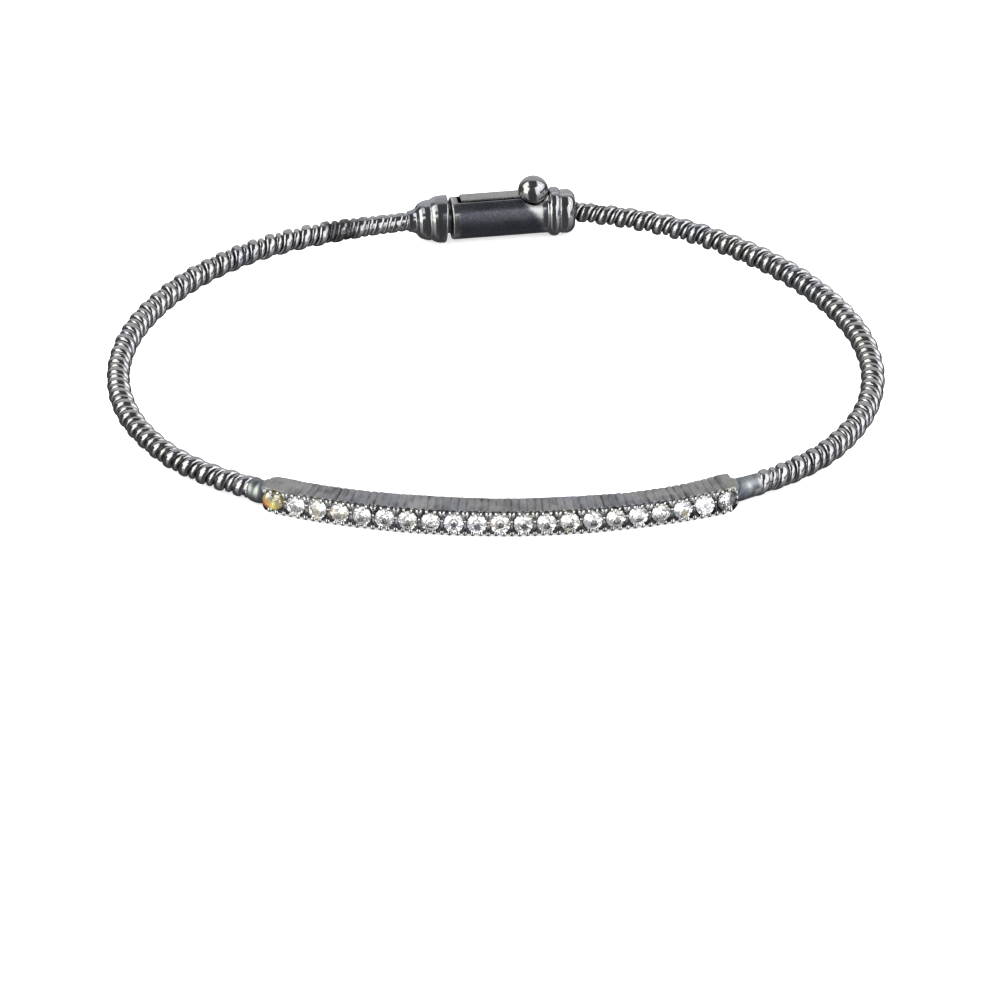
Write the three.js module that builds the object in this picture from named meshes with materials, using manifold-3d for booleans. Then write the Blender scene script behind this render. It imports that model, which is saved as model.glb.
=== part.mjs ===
// Stone-set wire bangle: a rigid oval bangle with a straight-set bar of round
// stones at the front, two wire-wound arms, and a small barrel clasp with a
// ball-ended thumb lever at the back.
//
// Frame: millimetres, +Z up. The bangle lies on its side, the way it rests on a
// table: +X is its width, -Y the side of the stone bar, +Y the side of the
// clasp. The origin is the middle of its footprint, on the table.
import * as THREE from 'three';
import { mergeVertices } from 'three/addons/utils/BufferGeometryUtils.js';
import Module from 'manifold-3d';

const wasm = await Module();
wasm.setup();

// ---------------------------------------------------------------- dimensions
const SEAM = 0.06;            // gap left where two pieces butt together

// Stone bar: a curved square bar with a channel for the stones in its outer face
const BAR_CENTRE_X = 0.33;    // centre of the bar's arcs
const BAR_CENTRE_Y = 21.82;
const BAR_OUTER_R = 46.45;
const BAR_INNER_R = 44.55;
const BAR_HEIGHT = 2.0;
const BAR_HALF_ANGLE = 22.7;  // degrees
const BAR_ARC_STEPS = 42;     // two facets to a stone

// Channel that seats the stones
const CHANNEL_DEPTH = 0.86;
const CHANNEL_HEIGHT = 1.56;
const CHANNEL_HALF_ANGLE = 22.34;

// Stones: round brilliants in one row, joined at the girdle into one solid
const STONE_COUNT = 21;
const STONE_PITCH = 1.743;    // along the arc through the girdles
const STONE_GIRDLE_R = 46.3;  // radius of the arc through the girdles
const STONE_DIAMETER = 1.46;
const STONE_TABLE = 0.84;
const STONE_CROWN = 0.24;
const STONE_SIDES = 8;
const STONE_WEB_HEIGHT = 0.9; // web between neighbouring stones
const STONE_WEB_DEPTH = 0.36;

// Solder necks on the bar's ends and the tenons that plug into them
const NECK_LENGTH = 1.1;
const NECK_ROOT_R = 0.94;
const NECK_TIP_R = 0.9;
const TENON_R = 0.5;
const TENON_BORE_R = 0.56;
const TENON_LENGTH = 0.8;
const TENON_SIDES = 10;

// Wire arms: the outside of the winding
const ARM_SIDES = 10;
const ARM_STEPS = 56;

// Clasp: everything below is in the clasp's own frame, with u along its axis
// from the barrel's mouth, v across it away from the wrist, and w up
const CLASP_X = -3.623;       // barrel mouth
const CLASP_Y = 21.574;
const CLASP_Z = 1.93;
const CLASP_TURN = 9.0;       // degrees, about Z
const CLASP_SIDES = 28;

const BARREL_R = 1.74;
const BARREL_BORE_R = 1.25;
const BARREL_BORE_END = 6.9;
const COLLAR_START = 7.7;     // the collar leans towards the arm here
const COLLAR_LEAN = -7.0;     // degrees, about Z

const SLOT_START = 0.58;
const SLOT_HALF_WIDTH = 0.82;
const SLOT_FLOOR = 0.9;
const SCOOP_R = 1.55;

const LEVER_HALF_WIDTH = 0.7;
const LEVER_TOP = 1.8;
const LEVER_BALL_R = 1.2;
const LEVER_BALL_U = 6.72;
const LEVER_BALL_W = 2.0;
const PIVOT_U = 3.6;
const PIVOT_W = 1.0;
const PIVOT_LUG_R = 0.42;
const PIVOT_BORE_R = 0.25;
const PIN_R = 0.2;
const PIN_HOLE_R = 0.23;
const PIN_LENGTH = 2.04;

const CAP_FACE_GAP = 0.37;    // cap to barrel, at the axis
const CAP_FACE_SLANT_W = 0.084; // the gap opens downwards
const CAP_FACE_SLANT_V = 0.05;  // and a little outwards
const TONGUE_HALF_WIDTH = 0.5;
const TONGUE_TOP = 0.45;
const TONGUE_BOTTOM = -0.5;
const TONGUE_END = 4.8;

// Centre line of each arm from the bar to the clasp, with the diameter over
// the winding
const LEFT_ARM = [
  { x: -18.18, y: -19.47, z: 1.00, d: 1.80 },
  { x: -19.87, y: -18.50, z: 1.01, d: 1.80 },
  { x: -21.60, y: -17.47, z: 1.03, d: 1.80 },
  { x: -24.97, y: -14.53, z: 1.08, d: 1.80 },
  { x: -28.06, y: -9.42, z: 1.18, d: 1.82 },
  { x: -29.41, y: -3.60, z: 1.33, d: 1.82 },
  { x: -28.94, y: 2.36, z: 1.49, d: 1.82 },
  { x: -26.81, y: 7.95, z: 1.63, d: 1.80 },
  { x: -23.38, y: 12.85, z: 1.75, d: 1.80 },
  { x: -18.83, y: 16.74, z: 1.83, d: 1.80 },
  { x: -14.38, y: 18.98, z: 1.87, d: 1.76 },
  { x: -11.05, y: 20.07, z: 1.90, d: 1.66 },
  { x: -9.11, y: 20.56, z: 1.92, d: 1.60 },
  { x: -7.30, y: 20.99, z: 1.93, d: 1.58 },
];
const RIGHT_ARM = [
  { x: 18.80, y: -19.38, z: 1.00, d: 1.80 },
  { x: 20.45, y: -18.24, z: 1.01, d: 1.80 },
  { x: 22.12, y: -17.13, z: 1.03, d: 1.80 },
  { x: 25.35, y: -14.05, z: 1.08, d: 1.80 },
  { x: 28.27, y: -8.84, z: 1.20, d: 1.82 },
  { x: 29.38, y: -2.97, z: 1.34, d: 1.82 },
  { x: 28.64, y: 2.96, z: 1.51, d: 1.82 },
  { x: 26.33, y: 8.48, z: 1.65, d: 1.82 },
  { x: 22.88, y: 13.38, z: 1.76, d: 1.82 },
  { x: 18.52, y: 17.49, z: 1.84, d: 1.80 },
  { x: 14.32, y: 20.18, z: 1.89, d: 1.76 },
  { x: 11.08, y: 21.50, z: 1.91, d: 1.66 },
  { x: 9.14, y: 22.06, z: 1.92, d: 1.62 },
  { x: 7.30, y: 22.53, z: 1.93, d: 1.60 },
  { x: 5.65, y: 22.86, z: 1.93, d: 1.60 },
];

// Turned outlines, radius against distance along the clasp's axis
const CAP_OUTLINE = [
  { u: -3.62, r: 0.78 }, { u: -3.25, r: 0.76 }, { u: -2.98, r: 0.85 },
  { u: -2.72, r: 1.04 }, { u: -2.42, r: 1.34 }, { u: -2.05, r: 1.56 },
  { u: -1.70, r: 1.64 }, { u: -1.52, r: 1.62 }, { u: -1.42, r: 1.76 },
  { u: -1.22, r: 1.89 }, { u: -0.85, r: 1.93 }, { u: 0.20, r: 1.90 },
];
const BARREL_OUTLINE = [
  { u: 0.0, r: 1.68 }, { u: 0.08, r: BARREL_R }, { u: 7.95, r: BARREL_R },
];
const COLLAR_OUTLINE = [
  { u: 0.0, r: 1.68 }, { u: 0.25, r: 1.78 }, { u: 0.48, r: 1.90 },
  { u: 0.74, r: 1.93 }, { u: 1.02, r: 1.89 }, { u: 1.20, r: 1.78 },
  { u: 1.28, r: 1.68 }, { u: 1.36, r: 1.72 }, { u: 1.70, r: 1.77 },
  { u: 2.10, r: 1.73 }, { u: 2.34, r: 1.62 }, { u: 2.45, r: 1.46 },
];

// ------------------------------------------------------------------- helpers
const deg = THREE.MathUtils.degToRad;

// A closed surface as a solid: seams welded, slivers dropped, faces
// turned outwards
function solid(geometry) {
  let g = geometry.clone();
  g.deleteAttribute('normal');
  if (g.getAttribute('uv')) g.deleteAttribute('uv');
  g = mergeVertices(g, 1e-5);
  const index = Array.from(g.getIndex().array);
  const p = g.getAttribute('position');
  const tris = [];
  let volume = 0;
  const a = new THREE.Vector3(), b = new THREE.Vector3(), c = new THREE.Vector3();
  for (let i = 0; i < index.length; i += 3) {
    const [i0, i1, i2] = index.slice(i, i + 3);
    if (i0 === i1 || i1 === i2 || i2 === i0) continue;
    a.fromBufferAttribute(p, i0); b.fromBufferAttribute(p, i1); c.fromBufferAttribute(p, i2);
    volume += a.dot(b.clone().cross(c)) / 6;
    tris.push(i0, i1, i2);
  }
  if (volume < 0) for (let i = 0; i < tris.length; i += 3) [tris[i], tris[i + 1]] = [tris[i + 1], tris[i]];
  return new wasm.Manifold(new wasm.Mesh({
    numProp: 3, vertProperties: new Float32Array(p.array), triVerts: new Uint32Array(tris),
  }));
}

function geometryOf(body) {
  const m = body.getMesh();
  const g = new THREE.BufferGeometry();
  g.setAttribute('position', new THREE.BufferAttribute(new Float32Array(m.vertProperties), 3));
  g.setIndex(new THREE.BufferAttribute(new Uint32Array(m.triVerts), 1));
  g.computeVertexNormals();
  return g;
}

// Solid of revolution about +X from rows of {u, r}, closed on the axis
function turned(rows, sides = CLASP_SIDES) {
  const pts = [new THREE.Vector2(0, rows[0].u)];
  for (const { u, r } of rows) pts.push(new THREE.Vector2(r, u));
  pts.push(new THREE.Vector2(0, rows[rows.length - 1].u));
  const g = new THREE.LatheGeometry(pts, sides);
  g.rotateZ(-Math.PI / 2);
  return g;
}

function rod(r, length, sides) {        // along +X from the origin
  const g = new THREE.CylinderGeometry(r, r, length, sides);
  g.rotateZ(-Math.PI / 2);
  g.translate(length / 2, 0, 0);
  return g;
}

// Lay a piece made along +X at a point, pointing along a direction
function aim(geometry, at, direction) {
  const x = direction.clone().normalize();
  const y = new THREE.Vector3(0, 0, 1).cross(x).normalize();
  const z = x.clone().cross(y);
  const m = new THREE.Matrix4().makeBasis(x, y, z).setPosition(at);
  return geometry.clone().applyMatrix4(m);
}

// Flat plan outline of a piece of ring, extruded upwards
function ringSector(r0, r1, halfAngle, z0, z1, steps) {
  const pts = [];
  for (let i = 0; i <= steps; i++) {
    const t = deg(-halfAngle + 2 * halfAngle * i / steps);
    pts.push(new THREE.Vector2(BAR_CENTRE_X + r1 * Math.sin(t), BAR_CENTRE_Y - r1 * Math.cos(t)));
  }
  for (let i = steps; i >= 0; i--) {
    const t = deg(-halfAngle + 2 * halfAngle * i / steps);
    pts.push(new THREE.Vector2(BAR_CENTRE_X + r0 * Math.sin(t), BAR_CENTRE_Y - r0 * Math.cos(t)));
  }
  const g = new THREE.ExtrudeGeometry(new THREE.Shape(pts), { depth: z1 - z0, bevelEnabled: false });
  g.translate(0, 0, z0);
  return g;
}

function box(u0, u1, v0, v1, w0, w1) {
  const g = new THREE.BoxGeometry(u1 - u0, v1 - v0, w1 - w0);
  g.translate((u0 + u1) / 2, (v0 + v1) / 2, (w0 + w1) / 2);
  return g;
}

const rowPoint = (row) => new THREE.Vector3(row.x, row.y, row.z);
const routeOf = (rows) => new THREE.CatmullRomCurve3(rows.map(rowPoint), false, 'centripetal');

// Diameter at a fraction of the route's length
function diameterAt(rows, curve, fraction) {
  const lengths = [0];
  for (let i = 1; i < rows.length; i++) lengths.push(lengths[i - 1] + rowPoint(rows[i]).distanceTo(rowPoint(rows[i - 1])));
  const s = fraction * lengths[lengths.length - 1];
  let i = 1;
  while (i < rows.length - 1 && lengths[i] < s) i++;
  const t = (s - lengths[i - 1]) / (lengths[i] - lengths[i - 1]);
  return rows[i - 1].d + (rows[i].d - rows[i - 1].d) * THREE.MathUtils.clamp(t, 0, 1);
}

// Wire arm: a round section swept along its route, its radius following the
// table, with a tenon on each butted end
function wireArm(rows, tenonAtClasp) {
  const curve = routeOf(rows);
  curve.arcLengthDivisions = 2000;
  const section = new THREE.Shape();
  for (let i = 0; i < ARM_SIDES; i++) {
    const t = (i / ARM_SIDES) * 2 * Math.PI;
    if (i === 0) section.moveTo(Math.cos(t), Math.sin(t));
    else section.lineTo(Math.cos(t), Math.sin(t));
  }
  section.closePath();
  const g = new THREE.ExtrudeGeometry(section, { steps: ARM_STEPS, bevelEnabled: false, extrudePath: curve });
  const stations = curve.getSpacedPoints(ARM_STEPS);
  const p = g.getAttribute('position');
  const v = new THREE.Vector3();
  for (let i = 0; i < p.count; i++) {
    v.fromBufferAttribute(p, i);
    let best = 0, near = Infinity;
    for (let k = 0; k <= ARM_STEPS; k++) {
      const d = v.distanceToSquared(stations[k]);
      if (d < near) { near = d; best = k; }
    }
    const radius = diameterAt(rows, curve, best / ARM_STEPS) / 2;
    v.sub(stations[best]).multiplyScalar(radius).add(stations[best]);
    p.setXYZ(i, v.x, v.y, v.z);
  }
  let body = solid(g);
  const root = 0.4;
  const tenon = rod(TENON_R, TENON_LENGTH + root, TENON_SIDES);
  const start = curve.getPointAt(0), startDir = curve.getTangentAt(0).negate();
  body = body.add(solid(aim(tenon, start.clone().addScaledVector(startDir, -root), startDir)));
  if (tenonAtClasp) {
    const end = curve.getPointAt(1), endDir = curve.getTangentAt(1);
    body = body.add(solid(aim(tenon, end.clone().addScaledVector(endDir, -root), endDir)));
  }
  return body;
}

// ----------------------------------------------------------------- stone bar
// One soldered piece: the channelled bar and its two necks
function stoneBar() {
  const channelZ0 = (BAR_HEIGHT - CHANNEL_HEIGHT) / 2;
  let body = solid(ringSector(BAR_INNER_R, BAR_OUTER_R, BAR_HALF_ANGLE, 0, BAR_HEIGHT, BAR_ARC_STEPS));
  const channel = ringSector(BAR_OUTER_R - CHANNEL_DEPTH, BAR_OUTER_R + 0.6, CHANNEL_HALF_ANGLE,
    channelZ0, channelZ0 + CHANNEL_HEIGHT, BAR_ARC_STEPS);
  const bores = [];
  for (const rows of [LEFT_ARM, RIGHT_ARM]) {
    const curve = routeOf(rows);
    const out = curve.getTangentAt(0);
    const seat = curve.getPointAt(0).addScaledVector(out, -SEAM);   // neck's open face
    const overlap = 0.6;
    const neck = turned([
      { u: 0, r: NECK_ROOT_R },
      { u: overlap + NECK_LENGTH * 0.5, r: NECK_ROOT_R * 0.97 },
      { u: overlap + NECK_LENGTH, r: NECK_TIP_R },
    ], 16);
    body = body.add(solid(aim(neck, seat.clone().addScaledVector(out, -(overlap + NECK_LENGTH)), out)));
    bores.push(solid(aim(rod(TENON_BORE_R, TENON_LENGTH + 0.4, TENON_SIDES),
      seat.clone().addScaledVector(out, -(TENON_LENGTH + 0.1)), out)));
  }
  body = body.subtract(solid(channel));
  for (const bore of bores) body = body.subtract(bore);
  return body;
}

// ----------------------------------------------------------------- stone row
// The stones and the web that joins neighbours behind their girdles
function stoneRow() {
  const pitchAngle = THREE.MathUtils.radToDeg(STONE_PITCH / STONE_GIRDLE_R);
  const half = pitchAngle * (STONE_COUNT - 1) / 2;
  const mid = BAR_HEIGHT / 2;
  let body = solid(ringSector(STONE_GIRDLE_R - 0.12 - STONE_WEB_DEPTH, STONE_GIRDLE_R - 0.12, half,
    mid - STONE_WEB_HEIGHT / 2, mid + STONE_WEB_HEIGHT / 2, STONE_COUNT - 1));
  const rows = [
    { u: -0.6, r: 0.18 }, { u: -0.06, r: STONE_DIAMETER / 2 }, { u: 0, r: STONE_DIAMETER / 2 },
    { u: STONE_CROWN, r: STONE_TABLE / 2 },
  ];
  const stone = turned(rows, STONE_SIDES);
  for (let i = 0; i < STONE_COUNT; i++) {
    const t = deg(-half + pitchAngle * i);
    const out = new THREE.Vector3(Math.sin(t), -Math.cos(t), 0);
    const at = new THREE.Vector3(BAR_CENTRE_X, BAR_CENTRE_Y, mid).addScaledVector(out, STONE_GIRDLE_R);
    body = body.add(solid(aim(stone, at, out)));
  }
  return body;
}

// --------------------------------------------------------------------- clasp
// Barrel: bored from its mouth, slotted along the top for the lever, scooped
// round the ball, with a stepped collar that takes the right arm
function claspBarrel(armBore) {
  let body = solid(turned(BARREL_OUTLINE));
  const collar = turned(COLLAR_OUTLINE);
  collar.rotateZ(deg(COLLAR_LEAN));
  collar.translate(COLLAR_START, 0, 0);
  body = body.add(solid(collar));
  body = body.subtract(solid(aim(rod(BARREL_BORE_R, BARREL_BORE_END + 1, 20),
    new THREE.Vector3(-1, 0, 0), new THREE.Vector3(1, 0, 0))));
  body = body.subtract(solid(box(SLOT_START, LEVER_BALL_U, -SLOT_HALF_WIDTH, SLOT_HALF_WIDTH, SLOT_FLOOR, 3)));
  const scoop = new THREE.SphereGeometry(SCOOP_R, 24, 16);
  scoop.rotateX(Math.PI / 2);
  scoop.translate(LEVER_BALL_U, 0, LEVER_BALL_W - 0.05);
  body = body.subtract(solid(scoop));
  body = body.subtract(solid(pinRod(PIN_HOLE_R, PIN_LENGTH + 0.06)));
  return body.subtract(armBore);
}

function pinRod(r, length) {
  const g = new THREE.CylinderGeometry(r, r, length, 12);
  g.translate(PIVOT_U, 0, PIVOT_W);
  return g;
}

// Lever: side outline with its pivot lug and hook, extruded across, and the ball
function thumbLever() {
  const s = new THREE.Shape();
  const bottom = 1.25, hook = 0.3;
  s.moveTo(0.84, LEVER_TOP);
  s.lineTo(0.76, LEVER_TOP - 0.1);
  s.lineTo(0.80, hook);
  s.lineTo(1.05, hook);
  s.lineTo(1.22, 0.75);
  s.lineTo(1.30, bottom);
  const lugStart = PIVOT_U - PIVOT_LUG_R;
  s.lineTo(lugStart, bottom);
  for (let i = 0; i <= 8; i++) {
    const t = Math.PI + (i / 8) * Math.PI;
    s.lineTo(PIVOT_U + PIVOT_LUG_R * Math.cos(t), PIVOT_W + PIVOT_LUG_R * Math.sin(t));
  }
  s.lineTo(PIVOT_U + PIVOT_LUG_R, bottom);
  s.lineTo(LEVER_BALL_U - 0.5, bottom);
  s.lineTo(LEVER_BALL_U - 0.5, LEVER_TOP);
  s.closePath();
  const eye = new THREE.Path();
  for (let i = 0; i < 12; i++) {
    const t = -(i / 12) * 2 * Math.PI;
    const x = PIVOT_U + PIVOT_BORE_R * Math.cos(t), y = PIVOT_W + PIVOT_BORE_R * Math.sin(t);
    if (i === 0) eye.moveTo(x, y); else eye.lineTo(x, y);
  }
  eye.closePath();
  s.holes.push(eye);
  const g = new THREE.ExtrudeGeometry(s, { depth: 2 * LEVER_HALF_WIDTH, bevelEnabled: false });
  g.rotateX(Math.PI / 2);                 // outline's y becomes w, depth runs along -v
  g.translate(0, LEVER_HALF_WIDTH, 0);
  const ball = new THREE.SphereGeometry(LEVER_BALL_R, 24, 16);
  ball.rotateX(Math.PI / 2);
  ball.translate(LEVER_BALL_U, 0, LEVER_BALL_W);
  return solid(g).add(solid(ball));
}

// End cap: domed rings with the tongue that the lever's hook holds. Its face
// towards the barrel is filed on a slant, so the gap is a narrow wedge
function endCap() {
  let body = solid(turned(CAP_OUTLINE));
  const cutter = box(0, 3, -4, 4, -4, 4);
  const m = new THREE.Matrix4();
  m.makeRotationFromEuler(new THREE.Euler(0, Math.atan(CAP_FACE_SLANT_W), -Math.atan(CAP_FACE_SLANT_V)));
  cutter.applyMatrix4(m);
  cutter.translate(-CAP_FACE_GAP, 0, 0);
  body = body.subtract(solid(cutter));
  let tongue = solid(box(-1.2, TONGUE_END, -TONGUE_HALF_WIDTH, TONGUE_HALF_WIDTH, TONGUE_BOTTOM, TONGUE_TOP));
  tongue = tongue.subtract(solid(box(0.62, 1.36, -1, 1, 0.15, 1)));
  body = body.add(tongue);
  return body.subtract(solid(aim(rod(TENON_BORE_R, TENON_LENGTH + 0.5, TENON_SIDES),
    new THREE.Vector3(CAP_OUTLINE[0].u + TENON_LENGTH + 0.1, 0, 0), new THREE.Vector3(-1, 0, 0))));
}

// ------------------------------------------------------------------ assembly
const silver = (color, roughness) => new THREE.MeshStandardMaterial({ color, roughness, metalness: 1 });

function mesh(name, body, material) {
  const m = new THREE.Mesh(geometryOf(body), material);
  m.name = name;
  return m;
}

const bangle = new THREE.Group();
const clasp = new THREE.Group();
clasp.position.set(CLASP_X, CLASP_Y, CLASP_Z);
clasp.rotation.z = deg(CLASP_TURN);
clasp.updateMatrixWorld(true);

// Bore in the collar, along the right arm's last stretch, in the clasp's frame
function armBoreInClasp() {
  const curve = routeOf(RIGHT_ARM);
  const end = curve.getPointAt(1), dir = curve.getTangentAt(1);
  const bore = aim(rod(RIGHT_ARM[RIGHT_ARM.length - 1].d / 2 + 0.06, 3, 16),
    end.clone().addScaledVector(dir, SEAM), dir.clone().negate());
  bore.applyMatrix4(clasp.matrixWorld.clone().invert());
  return solid(bore);
}

bangle.add(mesh('stone_bar', stoneBar(), silver(0x77787c, 0.34)));
bangle.add(mesh('stone_row', stoneRow(),
  new THREE.MeshStandardMaterial({ color: 0xf2f3f6, roughness: 0.03, metalness: 0 })));
bangle.add(mesh('wire_arm_left', wireArm(LEFT_ARM, true), silver(0x6d6f74, 0.3)));
bangle.add(mesh('wire_arm_right', wireArm(RIGHT_ARM, false), silver(0x6d6f74, 0.3)));
clasp.add(mesh('end_cap', endCap(), silver(0x5c5e66, 0.26)));
clasp.add(mesh('clasp_barrel', claspBarrel(armBoreInClasp()), silver(0x565860, 0.3)));
clasp.add(mesh('thumb_lever', thumbLever(), silver(0x66686e, 0.24)));
clasp.add(mesh('lever_pin', solid(pinRod(PIN_R, PIN_LENGTH)), silver(0x66686e, 0.3)));
bangle.add(clasp);

export default bangle;
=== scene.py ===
"""Looks for the stone-set wire bangle: blackened silver, a row of brilliants, studio light.

Lengths in the tables below are millimetres in the part's own frame; meshes are
made in metres. Routes, arcs and clasp sizes repeat the part's own tables.
"""
import math

import bpy
import numpy as np
from mathutils import Matrix, Vector


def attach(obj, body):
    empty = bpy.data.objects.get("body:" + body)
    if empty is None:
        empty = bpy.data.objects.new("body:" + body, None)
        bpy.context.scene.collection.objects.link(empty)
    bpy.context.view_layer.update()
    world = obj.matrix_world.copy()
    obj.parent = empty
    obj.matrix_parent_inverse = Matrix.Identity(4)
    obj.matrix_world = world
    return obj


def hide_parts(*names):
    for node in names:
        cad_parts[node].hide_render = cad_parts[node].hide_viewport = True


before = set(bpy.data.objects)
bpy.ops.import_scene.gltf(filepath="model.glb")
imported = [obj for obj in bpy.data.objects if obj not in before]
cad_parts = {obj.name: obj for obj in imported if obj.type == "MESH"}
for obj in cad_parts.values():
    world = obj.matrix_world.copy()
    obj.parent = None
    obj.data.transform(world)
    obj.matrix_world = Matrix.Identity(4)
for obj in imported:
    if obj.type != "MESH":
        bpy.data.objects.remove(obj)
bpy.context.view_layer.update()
MM = 0.001
rad = math.radians

# ------------------------------------------------------------------ the camera
CAM_AT = (0.313, -390.491, 226.3)
CAM_PITCH = 31.3757           # below the horizon
CAM_LENS = 206.874

cam_data = bpy.data.cameras.new("camera")
cam_data.lens = CAM_LENS
cam_data.sensor_width = 36.0
cam_data.clip_start = 0.01
cam_data.clip_end = 20.0
cam = bpy.data.objects.new("camera", cam_data)
cam.location = [c * MM for c in CAM_AT]
cam.rotation_euler = (rad(90.0 - CAM_PITCH), 0.0, 0.0)
bpy.context.scene.collection.objects.link(cam)
bpy.context.scene.camera = cam

# ---------------------------------------------------- tables shared with the part
BAR_CX, BAR_CY = 0.33, 21.82
BAR_OUTER_R, BAR_INNER_R = 46.45, 44.55
BAR_HEIGHT = 2.0
BAR_HALF_ANGLE = 22.7
STONE_COUNT, STONE_PITCH, STONE_GIRDLE_R = 21, 1.743, 46.3
STONE_DIAMETER = 1.46
CLASP_AT, CLASP_TURN = (-3.623, 21.574, 1.93), 9.0

LEFT_ARM = [  # x, y, z, diameter over the winding
    (-18.18, -19.47, 1.00, 1.80), (-19.87, -18.50, 1.01, 1.80), (-21.60, -17.47, 1.03, 1.80),
    (-24.97, -14.53, 1.08, 1.80), (-28.06, -9.42, 1.18, 1.82), (-29.41, -3.60, 1.33, 1.82),
    (-28.94, 2.36, 1.49, 1.82), (-26.81, 7.95, 1.63, 1.80), (-23.38, 12.85, 1.75, 1.80),
    (-18.83, 16.74, 1.83, 1.80), (-14.38, 18.98, 1.87, 1.76), (-11.05, 20.07, 1.90, 1.66),
    (-9.11, 20.56, 1.92, 1.60), (-7.30, 20.99, 1.93, 1.58),
]
RIGHT_ARM = [
    (18.80, -19.38, 1.00, 1.80), (20.45, -18.24, 1.01, 1.80), (22.12, -17.13, 1.03, 1.80),
    (25.35, -14.05, 1.08, 1.80), (28.27, -8.84, 1.20, 1.82), (29.38, -2.97, 1.34, 1.82),
    (28.64, 2.96, 1.51, 1.82), (26.33, 8.48, 1.65, 1.82), (22.88, 13.38, 1.76, 1.82),
    (18.52, 17.49, 1.84, 1.80), (14.32, 20.18, 1.89, 1.76), (11.08, 21.50, 1.91, 1.66),
    (9.14, 22.06, 1.92, 1.62), (7.30, 22.53, 1.93, 1.60), (5.65, 22.86, 1.93, 1.60),
]

# ------------------------------------------------------------------- mesh helpers


def lattice(ix, iy, iz, seed):
    """Repeatable value from 0 to 1 at whole-number points."""
    n = ix.astype(np.int64) * 374761393 + iy.astype(np.int64) * 668265263
    n = n + iz.astype(np.int64) * 2147483647 + seed * 1274126177
    n = (n ^ (n >> 13)) * 1274126177
    n = n & 0x7FFFFFFF
    n = (n ^ (n >> 16)) * 60493
    return (n & 0xFFFFF).astype(float) / 0xFFFFF


def noise3(p, size, seed=0):
    """Smooth value noise from -1 to 1, with features about `size` mm across."""
    q = np.asarray(p, float) / size
    i = np.floor(q)
    f = q - i
    f = f * f * (3 - 2 * f)
    i = i.astype(np.int64)
    out = 0.0
    for dx in (0, 1):
        for dy in (0, 1):
            for dz in (0, 1):
                w = np.ones(len(q))
                for k, d in enumerate((dx, dy, dz)):
                    w = w * (f[:, k] if d else 1 - f[:, k])
                out = out + w * lattice(i[:, 0] + dx, i[:, 1] + dy, i[:, 2] + dz, seed)
    return out * 2 - 1


def smooth01(x, lo, hi):
    t = np.clip((np.asarray(x, float) - lo) / (hi - lo), 0, 1)
    return t * t * (3 - 2 * t)


def table(rows, x, column=1):
    """A column of a table, smoothly between its rows."""
    rows = np.array(rows, float)
    return np.interp(x, rows[:, 0], rows[:, column])


def build(name, verts, faces, attributes=None, normals=None, smooth=True):
    """A mesh object from points in mm."""
    me = bpy.data.meshes.new(name)
    me.from_pydata((np.asarray(verts, float) * MM).tolist(), [], [list(map(int, f)) for f in faces])
    me.validate()
    if smooth:
        me.polygons.foreach_set("use_smooth", [True] * len(me.polygons))
    for key, value in (attributes or {}).items():
        value = np.asarray(value, np.float32)
        if value.ndim == 1:
            me.attributes.new(key, "FLOAT", "POINT").data.foreach_set("value", value)
        else:
            rgba = np.ones((len(value), 4), np.float32)
            rgba[:, :3] = value
            me.attributes.new(key, "FLOAT_COLOR", "POINT").data.foreach_set("color", rgba.ravel())
    if normals is not None:
        me.normals_split_custom_set_from_vertices(np.asarray(normals, float).tolist())
    me.update()
    obj = bpy.data.objects.new(name, me)
    bpy.context.scene.collection.objects.link(obj)
    return obj


def ring_faces(rings, sides, first=0, capped=True):
    """Quads between rings of points, each ring closed on itself."""
    a = first + np.arange(rings - 1)[:, None] * sides + np.arange(sides)[None]
    b = first + np.arange(rings - 1)[:, None] * sides + (np.arange(sides)[None] + 1) % sides
    q = np.stack([a, b, b + sides, a + sides], -1).reshape(-1, 4).tolist()
    if capped:
        q.append([first + i for i in range(sides)][::-1])
        q.append([first + (rings - 1) * sides + i for i in range(sides)])
    return q


class Parts:
    """Collects closed shells into one mesh, with what the finish does where, and where shade and highlights are painted
    on.
    """

    KEYS = ("groove", "soot", "polish", "satin", "mottle_and_painted_highlight")

    def __init__(self):
        self.v, self.f, self.n = [], [], 0
        self.finish = {k: [] for k in self.KEYS}

    def add(self, verts, faces, groove=0.0, soot=0.0, polish=0.0, satin=0.0, mottle_and_highlight=0.0):
        verts = np.asarray(verts, float)
        self.v.append(verts)
        self.f += [[i + self.n for i in f] for f in faces]
        self.n += len(verts)
        for key, value in zip(self.KEYS, (groove, soot, polish, satin, mottle_and_highlight)):
            self.finish[key].append(np.broadcast_to(np.asarray(value, float), (len(verts),)))

    def object(self, name):
        return build(name, np.concatenate(self.v), self.f, {k: np.concatenate(v) for k, v in self.finish.items()})


# Signed-distance shapes, for the turned and filed pieces of the clasp


def smin(a, b, k):
    h = np.clip(0.5 + 0.5 * (b - a) / k, 0, 1)
    return b + (a - b) * h - k * h * (1 - h)


def smax(a, b, k):
    return -smin(-a, -b, k)


def box_sdf(p, lo, hi, r):
    """Box with rounded edges."""
    lo, hi = np.array(lo, float), np.array(hi, float)
    q = np.abs(p - (lo + hi) / 2) - (hi - lo) / 2 + r
    return np.linalg.norm(np.maximum(q, 0), axis=1) + np.minimum(q.max(1), 0) - r


def disc_sdf(u, rho, u0, u1, radius, r0, r1=None):
    """Turned disc from u0 to u1, its two edges rounded by r0 and r1."""
    r1 = r0 if r1 is None else r1
    mid = (u0 + u1) / 2
    r = np.where(u < mid, r0, r1)
    qx = np.abs(u - mid) - (u1 - u0) / 2 + r
    qy = rho - radius + r
    outside = np.hypot(np.maximum(qx, 0), np.maximum(qy, 0))
    return outside + np.minimum(np.maximum(qx, qy), 0) - r


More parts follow.
